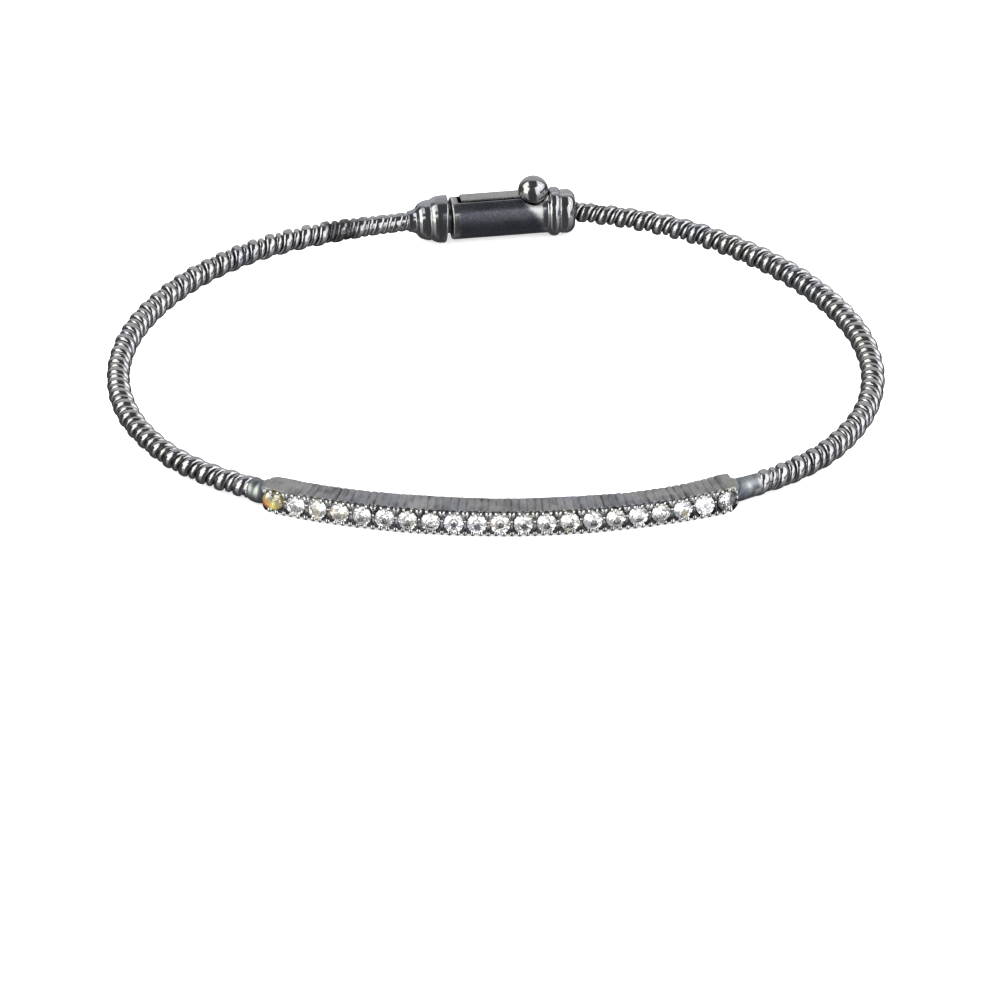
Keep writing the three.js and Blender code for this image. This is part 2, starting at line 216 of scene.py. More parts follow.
def skin(sdf, lo, hi, h):
    """Surface of a signed-distance shape, as quads on a grid of pitch h, then
    pulled exactly onto the shape."""
    lo, hi = np.array(lo, float), np.array(hi, float)
    n = np.ceil((hi - lo) / h).astype(int) + 1
    axes = [lo[k] + h * np.arange(n[k]) for k in range(3)]
    g = np.stack(np.meshgrid(*axes, indexing="ij"), -1).reshape(-1, 3)
    val = np.concatenate([sdf(c) for c in np.array_split(g, max(1, len(g) // 200000))]).reshape(n)
    inside = val < 0
    corners = [(i, j, k) for i in (0, 1) for j in (0, 1) for k in (0, 1)]
    m = n - 1

    def at(a, c):
        return a[c[0]:c[0] + m[0], c[1]:c[1] + m[1], c[2]:c[2] + m[2]]

    count = sum(at(inside, c).astype(int) for c in corners)
    active = (count > 0) & (count < 8)
    idx = -np.ones(m, int)
    idx[active] = np.arange(active.sum())
    cells = np.argwhere(active)
    total = np.zeros((len(cells), 3))
    hits = np.zeros(len(cells))
    for a in range(8):
        for b in range(a + 1, 8):
            ca, cb = np.array(corners[a]), np.array(corners[b])
            if np.abs(ca - cb).sum() != 1:
                continue
            va, vb = at(val, ca)[active], at(val, cb)[active]
            cross = (va < 0) != (vb < 0)
            t = np.where(cross, va / np.where(cross, va - vb, 1), 0)
            pt = ca + (cb - ca) * t[:, None]
            total += np.where(cross[:, None], pt, 0)
            hits += cross
    verts = lo + h * (cells + total / hits[:, None])
    faces = []
    for axis in range(3):
        u, v = (axis + 1) % 3, (axis + 2) % 3
        s0 = [slice(None)] * 3
        s1 = [slice(None)] * 3
        s0[axis], s1[axis] = slice(0, n[axis] - 1), slice(1, n[axis])
        a, b = inside[tuple(s0)], inside[tuple(s1)]
        e = np.argwhere(a != b)
        flip = b[tuple(e.T)]
        ok = (e[:, u] > 0) & (e[:, v] > 0) & (e[:, u] < m[u]) & (e[:, v] < m[v])
        e, flip = e[ok], flip[ok]
        quad = []
        for du, dv in ((0, 0), (1, 0), (1, 1), (0, 1)):
            c = e.copy()
            c[:, u] -= du
            c[:, v] -= dv
            quad.append(idx[tuple(c.T)])
        quad = np.stack(quad, -1)
        quad[flip] = quad[flip][:, ::-1]
        faces.append(quad)
    faces = np.concatenate(faces)

    def gradient(p):
        e = 0.004
        out = np.zeros_like(p)
        for k in range(3):
            d = np.zeros(3)
            d[k] = e
            out[:, k] = (sdf(p + d) - sdf(p - d)) / (2 * e)
        return out

    for _ in range(4):
        gr = gradient(verts)
        f = sdf(verts)
        step = f / np.maximum((gr * gr).sum(1), 0.2)
        verts = verts - gr * np.clip(step, -h, h)[:, None]
    gr = gradient(verts)
    normals = gr / np.maximum(np.linalg.norm(gr, axis=1), 1e-9)[:, None]
    # the faces look outwards
    a, b, c = verts[faces[:, 0]], verts[faces[:, 1]], verts[faces[:, 2]]
    away = (np.cross(b - a, c - a) * normals[faces[:, 0]]).sum(1)
    if np.median(away) < 0:
        faces = faces[:, ::-1]
    return verts, faces, normals


# ------------------------------------------------------------------- arm routes


def route(rows):
    """Centripetal Catmull-Rom through the rows, at even steps of arc length."""
    p = np.array([r[:3] for r in rows], float)
    d = np.array([r[3] for r in rows], float)
    ext = np.vstack([2 * p[0] - p[1], p, 2 * p[-1] - p[-2]])
    pts = []
    for i in range(len(p) - 1):
        x0, x1, x2, x3 = ext[i:i + 4]
        dt = [np.linalg.norm(b - a) ** 0.5 for a, b in ((x0, x1), (x1, x2), (x2, x3))]
        t1 = ((x1 - x0) / dt[0] - (x2 - x0) / (dt[0] + dt[1]) + (x2 - x1) / dt[1]) * dt[1]
        t2 = ((x2 - x1) / dt[1] - (x3 - x1) / (dt[1] + dt[2]) + (x3 - x2) / dt[2]) * dt[1]
        w = np.linspace(0, 1, 200, endpoint=(i == len(p) - 2))[:, None]
        c2, c3 = -3 * x1 + 3 * x2 - 2 * t1 - t2, 2 * x1 - 2 * x2 + t1 + t2
        pts.append(x1 + t1 * w + c2 * w ** 2 + c3 * w ** 3)
    pts = np.vstack(pts)
    s = np.concatenate([[0], np.cumsum(np.linalg.norm(np.diff(pts, axis=0), axis=1))])
    chord = np.concatenate([[0], np.cumsum(np.linalg.norm(np.diff(p, axis=0), axis=1))])
    diameter = np.column_stack([chord / chord[-1] * s[-1], d])
    return s, pts, diameter


class Arm:
    def __init__(self, rows):
        self.s, self.p, self.d = route(rows)
        self.length = self.s[-1]
        self.start = self.p[0], (self.p[0] - self.p[1]) / np.linalg.norm(self.p[0] - self.p[1])

    def at(self, s):
        """Point, tangent, and the two directions across, at a distance along."""
        s = np.asarray(s, float)

        def point(x):
            inner = np.clip(x, 0, self.length)
            q = np.stack([np.interp(inner, self.s, self.p[:, k]) for k in range(3)], -1)
            a = (self.p[0] - self.p[1]) / np.linalg.norm(self.p[0] - self.p[1])
            b = (self.p[-1] - self.p[-2]) / np.linalg.norm(self.p[-1] - self.p[-2])
            return q + np.maximum(-x, 0)[:, None] * a + np.maximum(x - self.length, 0)[:, None] * b

        p = point(s)
        t = point(s + 0.05) - point(s - 0.05)
        t /= np.linalg.norm(t, axis=1)[:, None]
        n1 = np.cross([0.0, 0.0, 1.0], t)
        n1 /= np.linalg.norm(n1, axis=1)[:, None]
        n2 = np.cross(t, n1)
        return p, t, n1, n2

    def diameter(self, s):
        return np.interp(s, self.d[:, 0], self.d[:, 1])


left, right = Arm(LEFT_ARM), Arm(RIGHT_ARM)

# ------------------------------------------------------------------ wound arms
# Turns of the winding against distance from the bar, and what the solder and
# the file have done along each arm: `fill` is the core's radius as a share of
# the outer one, `shave` the outer radius left by the file, `thin` the thin
# strand's height as a share of the thick one's
THICK_SHARE, THIN_SHARE = 0.535, 0.345      # of the length of one turn
LEFT_TURNS = [
    (0, 0.33), (4, 2.75), (10, 6.29), (14, 8.62), (18, 11.01), (21, 12.93), (24, 14.84), (28, 17.135),
    (32, 19.535), (36, 22.0), (40, 24.53), (44, 27.075), (48, 29.555), (52, 32.025), (58, 35.88),
]
RIGHT_TURNS = [
    (0, -0.33), (4, 2.08), (8, 4.577), (12, 7.08), (16, 9.41), (20, 11.72), (24, 14.13), (28, 16.39),
    (32, 18.8), (36, 21.5), (40, 24.2), (44, 26.855), (48, 29.465), (52, 31.96), (56, 34.44), (60, 36.9),
]
LEFT_FINISH = [  # s, fill, shave, thin, swell
    (0.0, 0.92, 1.00, 0.90, 0.0), (0.3, 0.88, 1.00, 0.90, 0.0), (0.8, 0.78, 1.00, 0.90, 0.01), (3.0, 0.68, 1.0, 0.90, 0.03),
    (5.0, 0.62, 1.0, 0.90, 0.03), (12.0, 0.60, 1.0, 0.91, 0.0), (17.0, 0.60, 1.0, 0.92, 0.03), (21.0, 0.60, 1.0, 0.94, 0.01),
    (26.0, 0.60, 1.0, 0.91, 0.03), (34.0, 0.60, 1.0, 0.88, 0.06), (44.0, 0.60, 1.0, 0.86, 0.07), (49.0, 0.64, 1.0, 0.87, 0.08),
    (51.0, 0.76, 0.98, 0.92, 0.08), (53.5, 0.82, 0.96, 0.94, 0.04), (56.0, 0.86, 0.95, 0.95, 0.03), (58.0, 0.88, 0.95, 0.95, 0.03),
]
RIGHT_FINISH = [
    (0.0, 0.90, 1.00, 0.90, 0.0), (1.3, 0.90, 1.00, 0.90, 0.0), (1.7, 0.84, 1.00, 0.90, 0.02), (3.2, 0.74, 1.0, 0.92, 0.05),
    (5.0, 0.62, 1.0, 0.92, 0.06), (9.0, 0.60, 1.0, 0.90, 0.06), (14.0, 0.60, 1.0, 0.90, 0.02), (20.0, 0.60, 1.0, 0.92, 0.04),
    (28.0, 0.60, 1.0, 0.90, 0.07), (36.0, 0.60, 1.0, 0.86, 0.09), (46.0, 0.60, 1.0, 0.84, 0.07), (52.0, 0.62, 1.0, 0.86, 0.07),
    (57.0, 0.68, 0.98, 0.90, 0.06), (60.0, 0.70, 0.97, 0.90, 0.05),
]
# rough blackened patches: middle and half length along the arm, angle round it
# and half angle, strength
left.soot = [(51.1, 1.5, 1.2, 4.0, 0.9), (52.6, 0.8, 1.9, 0.8, 0.5)]
right.soot = [(55.7, 0.75, 1.9, 0.75, 0.8)]
left.spots = []
right.spots = [(55.7, 0.75, 1.9, 0.80, 0.87)]      # filed flats, the radius kept


def outer_radius(arm, finish, s):
    return arm.diameter(s) / 2 + table(finish, s, 4)


def soot_on(arm, s, angle):
    out = np.zeros(np.broadcast(s, angle).shape)
    for s_mid, s_half, a_mid, a_half, amount in arm.soot:
        here = (1 - smooth01(np.abs(s - s_mid), s_half * 0.7, s_half)) * (
            1 - smooth01(np.abs((angle - a_mid + math.pi) % (2 * math.pi) - math.pi), a_half * 0.7, a_half))
        out = np.maximum(out, amount * here)
    return out


def strand(arm, turns, finish, share, thick, phase, seed, s_from, s_to, sides=20, per_turn=36):
    """One strand of the winding, a flattened wire in a left-handed helix."""
    n = int((table(turns, s_to) - table(turns, s_from)) * per_turn)
    s = np.linspace(s_from, s_to, n)
    phi = -2 * math.pi * table(turns, s) + phase
    lead = 1 / np.gradient(table(turns, s), s)
    lead = np.convolve(np.pad(lead, 60, mode="edge"), np.hanning(121) / np.hanning(121).sum(), "valid")
    wob = noise3(np.column_stack([s, np.full(n, seed * 3.1), np.zeros(n)]), 1.9, seed)
    wob2 = noise3(np.column_stack([s, np.full(n, seed * 7.7), np.zeros(n)]), 0.7, seed + 5)
    phi = phi + 0.06 * wob
    outer = outer_radius(arm, finish, s) * (1.0 if thick else table(finish, s, 3)) * (1 + 0.012 * wob2)
    a_r = (0.30 if thick else 0.24) * (1 + 0.04 * wob)
    rc = outer - a_r
    lean = np.arctan(lead / (2 * math.pi * rc))
    a_b = share / 2 * lead * np.cos(lean) * (1.0 - 0.03 * wob2)
    p, t, n1, n2 = arm.at(s)
    e_r = np.cos(phi)[:, None] * n1 + np.sin(phi)[:, None] * n2
    c = p + rc[:, None] * e_r
    th = np.gradient(c, axis=0)
    th /= np.linalg.norm(th, axis=1)[:, None]
    e_b = np.cross(th, e_r)
    e_b /= np.linalg.norm(e_b, axis=1)[:, None]
    psi = np.linspace(0, 2 * math.pi, sides, endpoint=False)
    # a rounded oblong section, a little squarer than an ellipse
    cx = np.sign(np.cos(psi)) * np.abs(np.cos(psi)) ** 0.86
    cy = np.sign(np.sin(psi)) * np.abs(np.sin(psi)) ** 0.92
    v = (c[:, None] + (a_r[:, None] * cx[None])[..., None] * e_r[:, None]
         + (a_b[:, None] * cy[None])[..., None] * e_b[:, None])
    dents = noise3(v.reshape(-1, 3), 0.55, seed + 40) * 0.014 + noise3(v.reshape(-1, 3), 0.22, seed + 41) * 0.005
    v = v + (dents.reshape(n, sides) * (cx > 0))[..., None] * e_r[:, None]
    # the file takes the tops down where the table says so
    off = v - p[:, None]
    along = (off * t[:, None]).sum(-1)
    across = off - along[..., None] * t[:, None]
    rho = np.linalg.norm(across, axis=-1)
    limit = (outer_radius(arm, finish, s) * table(finish, s, 2))[:, None] * np.ones(sides)
    ang = np.arctan2((across * n2[:, None]).sum(-1), (across * n1[:, None]).sum(-1))
    place = s[:, None] + along
    for s_mid, s_half, a_mid, a_half, keep in arm.spots:
        here = (1 - smooth01(np.abs(place - s_mid), s_half * 0.75, s_half)) * (
            1 - smooth01(np.abs((ang - a_mid + math.pi) % (2 * math.pi) - math.pi), a_half * 0.75, a_half))
        limit = limit * (1 - (1 - keep) * here)
    lowered = np.where(rho > limit, limit + (rho - limit) * 0.12, rho)
    v = p[:, None] + along[..., None] * t[:, None] + across * (lowered / np.maximum(rho, 1e-6))[..., None]
    # groove: each wire's flanks, where it meets its neighbours, darken, more where the core sits deep; partly the oxide
    # in these hollows, partly painted shade
    flank = np.degrees(np.abs((psi + math.pi) % (2 * math.pi) - math.pi))
    groove = np.clip((flank - 70) / 30, 0, 1)[None] * np.ones((n, 1))
    open_side = 1 - smooth01(table(finish, s, 1), 0.72, 0.9)
    groove = groove * (0.35 + 0.65 * open_side[:, None])
    return v.reshape(-1, 3), ring_faces(n, sides), groove.ravel(), soot_on(arm, place, ang).ravel()


def core(arm, finish, s_from, s_to, seed, sides=40, step=0.05):
    """What fills the middle of the winding, and the solder over its ends."""
    n = int((s_to - s_from) / step)
    s = np.linspace(s_from, s_to, n)
    p, t, n1, n2 = arm.at(s)
    psi = np.linspace(0, 2 * math.pi, sides, endpoint=False)
    r = (outer_radius(arm, finish, s) * table(finish, s, 1))[:, None] * np.ones(sides)
    d = np.cos(psi)[None, :, None] * n1[:, None] + np.sin(psi)[None, :, None] * n2[:, None]
    v = p[:, None] + r[..., None] * d
    lump = noise3(v.reshape(-1, 3), 0.8, seed) * 0.022 + noise3(v.reshape(-1, 3), 0.3, seed + 1) * 0.008
    v = v + lump.reshape(n, sides)[..., None] * d
    # groove: the core darkens where it sits deep in the winding; partly oxide, partly painted shade
    groove = (1 - smooth01(table(finish, s, 1), 0.70, 0.92))[:, None] * np.ones(sides)
    return v.reshape(-1, 3), ring_faces(n, sides), groove.ravel(), soot_on(arm, s[:, None], psi[None]).ravel()


def wound_arm(name, arm, turns, finish, s_end, seed):
    parts = Parts()
    parts.add(*core(arm, finish, 0.0, s_end, seed))
    parts.add(*strand(arm, turns, finish, THICK_SHARE, True, 0.0, seed + 10, 0.25, s_end))
    parts.add(*strand(arm, turns, finish, THIN_SHARE, False, math.pi, seed + 20, 0.25, s_end))
    return parts.object(name)


arm_left = wound_arm("wound_arm_left", left, LEFT_TURNS, LEFT_FINISH, left.length + 0.35, 3)
arm_right = wound_arm("wound_arm_right", right, RIGHT_TURNS, RIGHT_FINISH, right.length + 0.05, 7)

# ------------------------------------------------------------------ stone bar
BAR_T = rad(BAR_HALF_ANGLE)
BAR_A = BAR_T * STONE_GIRDLE_R        # half length along the girdle arc
MID_Z = BAR_HEIGHT / 2
stone_a = (np.arange(STONE_COUNT) - (STONE_COUNT - 1) / 2) * STONE_PITCH
RIB = STONE_PITCH / 3


def bar_point(a, x, z):
    """Along the arc, out from the bar's inner face, and up."""
    t = np.asarray(a) / STONE_GIRDLE_R
    r = BAR_INNER_R + np.asarray(x)
    return np.stack(np.broadcast_arrays(BAR_CX + r * np.sin(t), BAR_CY - r * np.cos(t), z), -1)


LEAN = math.tan(rad(12.0))            # the front face looks a little upwards
TOP_LIFT = [(-18.3, 0.03), (-17.0, 0.05), (-15.0, 0.04), (-12.0, 0.07), (-9.4, 0.12), (-6.6, 0.16), (-3.8, 0.15),
            (-1.0, 0.12), (4.5, 0.11), (7.2, 0.09), (10.0, 0.01), (12.8, 0.03), (14.6, 0.07), (16.5, 0.17), (17.4, 0.25), (18.3, 0.25)]


def lean_out(z):
    return -(np.asarray(z, float) - MID_Z) * LEAN


def front_depth(a, z):
    """How far the bar's front stands out: conical seats with walls between."""
    i = np.clip(np.round(a / STONE_PITCH + (STONE_COUNT - 1) / 2), 0, STONE_COUNT - 1)
    da = a - (i - (STONE_COUNT - 1) / 2) * STONE_PITCH
    r = np.hypot(da, z - MID_Z)
    seat = 1.70 - np.clip(0.76 - r, 0, 1) * 0.93
    wall = 1.70 + np.clip(r - 0.74, 0, 0.2) * 0.9
    x = np.where(r < 0.76, seat, wall)
    return np.minimum(x, 1.86)


def stone_bar():
    cols = 63 * 15
    a = np.linspace(-BAR_A, BAR_A, cols)
    end = BAR_A - np.abs(a)                                     # distance from the nearer end
    ribbed = smooth01(a, -16.02, -15.9) * (1 - smooth01(a, 17.45, 17.6))
    hump = (1 - smooth01(a, -16.05, -15.9)) * smooth01(a, -18.4, -17.4)
    turns = (a - stone_a[0]) / RIB
    phase = turns % 1.0                                         # 0 on a rib's crest
    away = np.abs(phase - np.round(phase)) * 2                  # 0 on the crest, 1 in the groove
    depth = np.clip(0.95 + 0.8 * noise3(np.column_stack([np.floor(turns) * 1.7, a * 0, a * 0]), 1.0, 8), 0.4, 1.7)
    groove = away ** 2.4 * depth
    # line: dark lines along the rib grooves, stronger towards the inner edge, on the top face and underside; partly the
    # oxide in them, partly painted shade
    line = 0.45 * smooth01(away, 0.25, 0.95) * depth + 0.4 * smooth01(away, 0.75, 0.98)
    tone = 0.16 * noise3(np.column_stack([np.floor(turns + 0.5) * 2.3, a * 0, a * 0]), 1.0, 9) + 0.05
    ends = 0.25 + 0.75 * smooth01(np.abs(a), 5.0, 13.0)
    lift = table(TOP_LIFT, a)
    round_end = (1 - smooth01(end, 0.0, 0.75)) ** 2
    low = np.where(a < 0, 0.66, 1.0)
    lowz = np.where(end < low, low - np.sqrt(np.maximum(low ** 2 - (low - end) ** 2, 0)), 0) * np.where(a < 0, 1.35, 0.95)
    rows = []
    shade, bright = [], []

    def row(x, z, dark=0.0, shine=0.0):
        rows.append(bar_point(a, x, z))
        shade.append(np.broadcast_to(dark, a.shape))
        bright.append(np.broadcast_to(shine, a.shape))

    wig = noise3(np.column_stack([a, a * 0, a * 0]), 0.5, 4) * 0.012
    # top face, from the wrist side outwards
    for x in (-0.09, -0.06, 0.02, 0.12, 0.3, 0.5, 0.7, 0.9, 1.1, 1.3, 1.5, 1.68, 1.80, 1.90, 1.96):
        edge = np.exp(-(x + 0.09) / 0.06)
        front = smooth01(x, 1.60, 1.96)
        scratch = 0.006 * noise3(np.column_stack([a, np.full_like(a, x), a * 0]), 0.12, 14)
        dip = ribbed * groove * (0.05 + 0.02 * front)
        dip = dip * (1 - edge * (1 - ends))
        z = BAR_HEIGHT + 0.06 - 0.04 * edge + hump * 0.01 - dip - 0.03 * front + wig + scratch
        z = z + 0.6 * lift * (1 - 0.25 * max(x, 0)) - 0.045 * round_end * (a < 0)
        back = -0.65 * lift * (1 - smooth01(x, 0.0, 0.8)) + 0.05 * ribbed * groove * edge * ends
        back = back + np.where(a < 0, 0.19, 0.08) * round_end * (1 - smooth01(x, 0.0, 1.2))
        lean = lean_out(2.0) * smooth01(x, 0.7, 1.7)
        streak = noise3(np.column_stack([a, np.full_like(a, x * 0.22), a * 0]), 0.16, 61)
        cloud = noise3(np.column_stack([a, np.full_like(a, x), a * 0]), 0.8, 62)
        stain = 0.15 + 0.24 * streak + 0.20 * cloud
        row(x + back + lean, z, np.clip(ribbed * (line * (0.45 - 0.1 * front + 0.3 * edge) + tone) + stain, 0, 1))
    # front face
    for z in np.concatenate([np.linspace(1.90, 1.72, 5), np.linspace(1.68, 0.40, 34), [0.34, 0.28]]):
        x = front_depth(a, np.full_like(a, z))
        cut = ribbed * groove * 0.07 * smooth01(abs(z - MID_Z), 0.70, 0.85)
        zz = np.maximum(z, lowz + 0.10)
        i = np.clip(np.round(a / STONE_PITCH + (STONE_COUNT - 1) / 2), 0, STONE_COUNT - 1)
        r = np.hypot(a - (i - (STONE_COUNT - 1) / 2) * STONE_PITCH, z - MID_Z)
        under = 1 - smooth01(r, 0.64, 0.72)                     # the bright-cut seat below the stone
        # painted shade: darker deeper into the seats and walls, towards the bottom of the front face and in the cuts
        # between the beads; none on the bright-cut seat
        inside = np.clip((1.78 - x) / 0.35, 0, 1)
        inside = np.maximum(inside, 0.95 * smooth01(0.95 - z, 0.0, 0.35))
        row(np.minimum(x - cut, 1.86) + lean_out(z) - 0.2 * (1 - smooth01(end, 0.0, 0.16)), zz,
            np.maximum(inside, cut * 4) * (1 - under), under * (0.24 + 0.70 * (1 - smooth01(r, 0.25, 0.45))))
    # underside, back to the wrist side
    for x, z in ((1.76, 0.20), (1.55, 0.12), (1.2, 0.08), (0.8, 0.05), (0.4, 0.04), (0.05, 0.06), (-0.06, 0.14)):
        dip = groove * (0.03 + 0.05 * smooth01(x, 1.2, 1.6))
        row(x + lean_out(0.2) * smooth01(x, 0.7, 1.6), np.maximum(z + dip, lowz), 0.25 * line)
    for z in (0.4, 1.0, 1.6):
        row(-0.09, np.maximum(z, lowz + 0.02 * z), 0.0)
    n = len(rows)
    v = np.stack(rows, 1).reshape(-1, 3)                        # one ring per column
    return v, ring_faces(cols, n), np.stack(shade, 1).reshape(-1), 0.0, np.stack(bright, 1).reshape(-1)


def blob(centre, radii, axes, nu=12, nv=8, ridge=2.0):
    """Ellipsoid, its radii along three directions; ridge below 2 squares it
    off into a keel along the front."""
    th = np.linspace(0, math.pi, nv + 1)[1:-1]
    ph = np.linspace(0, 2 * math.pi, nu, endpoint=False)
    st, ct = np.sin(th), np.cos(th)
    pts = [np.array([0, 0, 1.0])]
    keel = (np.abs(np.cos(ph)) ** ridge + np.abs(np.sin(ph)) ** ridge) ** (-1 / ridge)
    grid = np.stack([st[:, None] * keel * np.cos(ph), st[:, None] * keel * np.sin(ph), ct[:, None] * np.ones(nu)], -1).reshape(-1, 3)
    pts = np.vstack([[[0, 0, 1.0]], grid, [[0, 0, -1.0]]])
    v = np.asarray(centre) + (pts * np.asarray(radii)) @ np.asarray(axes)
    f = []
    for j in range(nu):
        f.append([0, 1 + j, 1 + (j + 1) % nu])
        f.append([len(pts) - 1, 1 + (nv - 2) * nu + (j + 1) % nu, 1 + (nv - 2) * nu + j])
    for i in range(nv - 2):
        for j in range(nu):
            p0, p1 = 1 + i * nu + j, 1 + i * nu + (j + 1) % nu
            f.append([p0, p0 + nu, p1 + nu, p1])
    return v, f


def bar_axes(a, lean=0.0):
    """Along the bar, outwards, and up, leaned forwards by an angle."""
    t = a / STONE_GIRDLE_R
    along = np.array([math.cos(t), math.sin(t), 0.0])
    out = np.array([math.sin(t), -math.cos(t), 0.0])
    up = np.array([0.0, 0.0, 1.0])
    c, s = math.cos(lean), math.sin(lean)
    return np.array([along, c * out - s * up, s * out + c * up])


bar_parts = Parts()
bar_parts.add(*stone_bar())
# beads raised over the girdles, three to a stone on each side; the one between
# two stones is the widest and runs down to a waist with a grain on it
rng = np.random.RandomState(5)
def bead(a, x, z, radii, lean=0.0, ridge=2.0, tilt=0.0, **finish):
    along, out, up = bar_axes(a, rad(lean - 12.0))
    c, s = math.cos(rad(tilt)), math.sin(rad(tilt))
    v, f = blob(bar_point(a, x + lean_out(z), z), radii, np.array([c * along + s * up, out, c * up - s * along]), 14, 10, ridge)
    bar_parts.add(v, f, **finish)


for k in range(3 * STONE_COUNT + 1):
    a = stone_a[0] - STONE_PITCH / 2 + k * RIB
    shared = k % 3 == 0
    j = rng.uniform(-1, 1, 10)
    at_end = k in (0, 3 * STONE_COUNT)
    lift = 0.5 * float(table(TOP_LIFT, a))
    tall = 0.25 if shared else 0.205
    for side in (-1, 1) if shared else (0,):
        if abs(a + 0.13 * side) > BAR_A - 0.05:
            continue
        bead(a + 0.125 * side + 0.015 * j[5], 1.87, 1.90 + lift - tall + 0.015 * j[0],
             ((0.115 if shared else 0.135) * (1 + 0.12 * j[1]), 0.16, tall * (1 + 0.10 * j[6])), 16 + 6 * j[7 + side],
             ridge=1.35, tilt=-14 * side + 5 * j[2 + side], polish=1.0)
    if shared and not at_end:
        bead(a, 1.76, 1.50, (0.105, 0.11, 0.22), 4, polish=0.5)
        bead(a + 0.02 * j[8], 1.745, MID_Z + 0.12 + 0.04 * j[2], (0.11, 0.13, 0.13), 0, polish=0.9)
        # the low bead of each web is darkened: painted shade
        bead(a, 1.70, 0.60, (0.10, 0.10, 0.22), 0, groove=0.5, polish=0.1)
    if not at_end:
        low = 0.10 if k in (1, 3 * STONE_COUNT - 1) else 0.0
        bead(a + 0.02 * j[9], 1.83, 0.26 + low + 0.015 * j[3], (0.19 * (1 + 0.10 * j[4]), 0.16, 0.20 * (1 + 0.05 * j[2])), -6,
             groove=0.1, polish=0.45 + 0.35 * j[8])
for side, z in ((-1, 1.62), (1, 0.72), (1, 1.12), (1, 1.52)):
    bead(side * (BAR_A - 0.04), 1.74, z, (0.105, 0.15, 0.17), 0, polish=0.9)


def neck(arm, rows, seed, painted_patches):
    """Solder neck between the bar and the winding, mottled, with highlights painted on; the last argument lists the
    places the highlights
    are painted: distance along, height round it in degrees, half sizes, share."""
    s = np.linspace(rows[0][0], rows[-1][0], 72)
    r = table(rows, s)
    r = np.convolve(np.pad(r, 5, mode="edge"), np.hanning(11) / np.hanning(11).sum(), "valid")
    drop = table(rows, s, 2)
    sides = 44
    p, t, n1, n2 = arm.at(s)
    psi = np.linspace(0, 2 * math.pi, sides, endpoint=False)
    d = np.cos(psi)[None, :, None] * n1[:, None] + np.sin(psi)[None, :, None] * n2[:, None]
    v = p[:, None] + r[:, None, None] * d
    lump = noise3(v.reshape(-1, 3), 0.9, seed) * 0.035 + noise3(v.reshape(-1, 3), 0.35, seed + 3) * 0.010
    v = v + lump.reshape(len(s), sides)[..., None] * d
    v[..., 2] -= drop[:, None]
    height = np.degrees(np.arctan2(d[..., 2], -d[..., 1]))
    # a random mottle, plus highlights painted at the listed places, placed by the height round the neck, 0 in front
    mottle_and_highlight = 0.16 + 0.25 * noise3(v.reshape(-1, 3), 0.3, seed + 6).reshape(len(s), sides)
    for along, up, half_s, half_up, share in painted_patches:
        mottle_and_highlight = mottle_and_highlight + share * np.exp(-((s[:, None] - along) / half_s) ** 2 - ((height - up) / half_up) ** 2)
    return v.reshape(-1, 3), ring_faces(len(s), sides), 0.0, 0.0, 0.0, 1.0, np.clip(mottle_and_highlight, 0, 1).ravel()


# painted highlights on the necks, where bright reflections stand as seen from the front
bar_parts.add(*neck(left, [(-1.9, 0.70, 0.0), (-1.2, 0.76, 0.0), (-0.95, 0.84, 0.0), (-0.7, 0.91, 0.03), (-0.4, 0.90, 0.07),
                           (-0.1, 0.925, 0.04), (0.15, 0.92, 0.0), (0.3, 0.84, 0.0), (0.34, 0.70, 0.0)], 21,
                     [(0.0, 48, 0.15, 26, 1.0), (-0.55, 28, 0.18, 34, 1.0)]))
bar_parts.add(*neck(right, [(-1.9, 0.70, 0.0), (-1.2, 0.76, -0.05), (-0.95, 0.83, -0.08), (-0.7, 0.88, -0.11), (-0.4, 0.88, -0.12), (0.0, 0.85, -0.10),
                            (0.4, 0.83, -0.09), (0.8, 0.83, -0.07), (1.1, 0.84, -0.03), (1.25, 0.83, 0.0), (1.30, 0.70, 0.0)], 22,
                     [(-0.05, 38, 0.26, 32, 0.9), (1.02, 40, 0.17, 36, 1.2), (0.45, 80, 0.5, 20, 0.4)]))
for side, z, up in ((-1, 1.44, 0.60), (1, 1.50, 0.66)):
    v, f = blob(bar_point(side * (BAR_A + 0.02), 0.77, z), (0.66, 0.84, up), bar_axes(side * BAR_A), 36, 24)
    # painted shade: the fillets' flanks are darkened and given the dark neck colour
    flank = 1 - smooth01((v[:, 2] - z) / up, 0.70, 0.95)
    bar_parts.add(v, f, groove=0.15 + 0.2 * flank, satin=flank, mottle_and_highlight=0.1)
bar_obj = bar_parts.object("set_bar")

# -------------------------------------------------------------------- stones


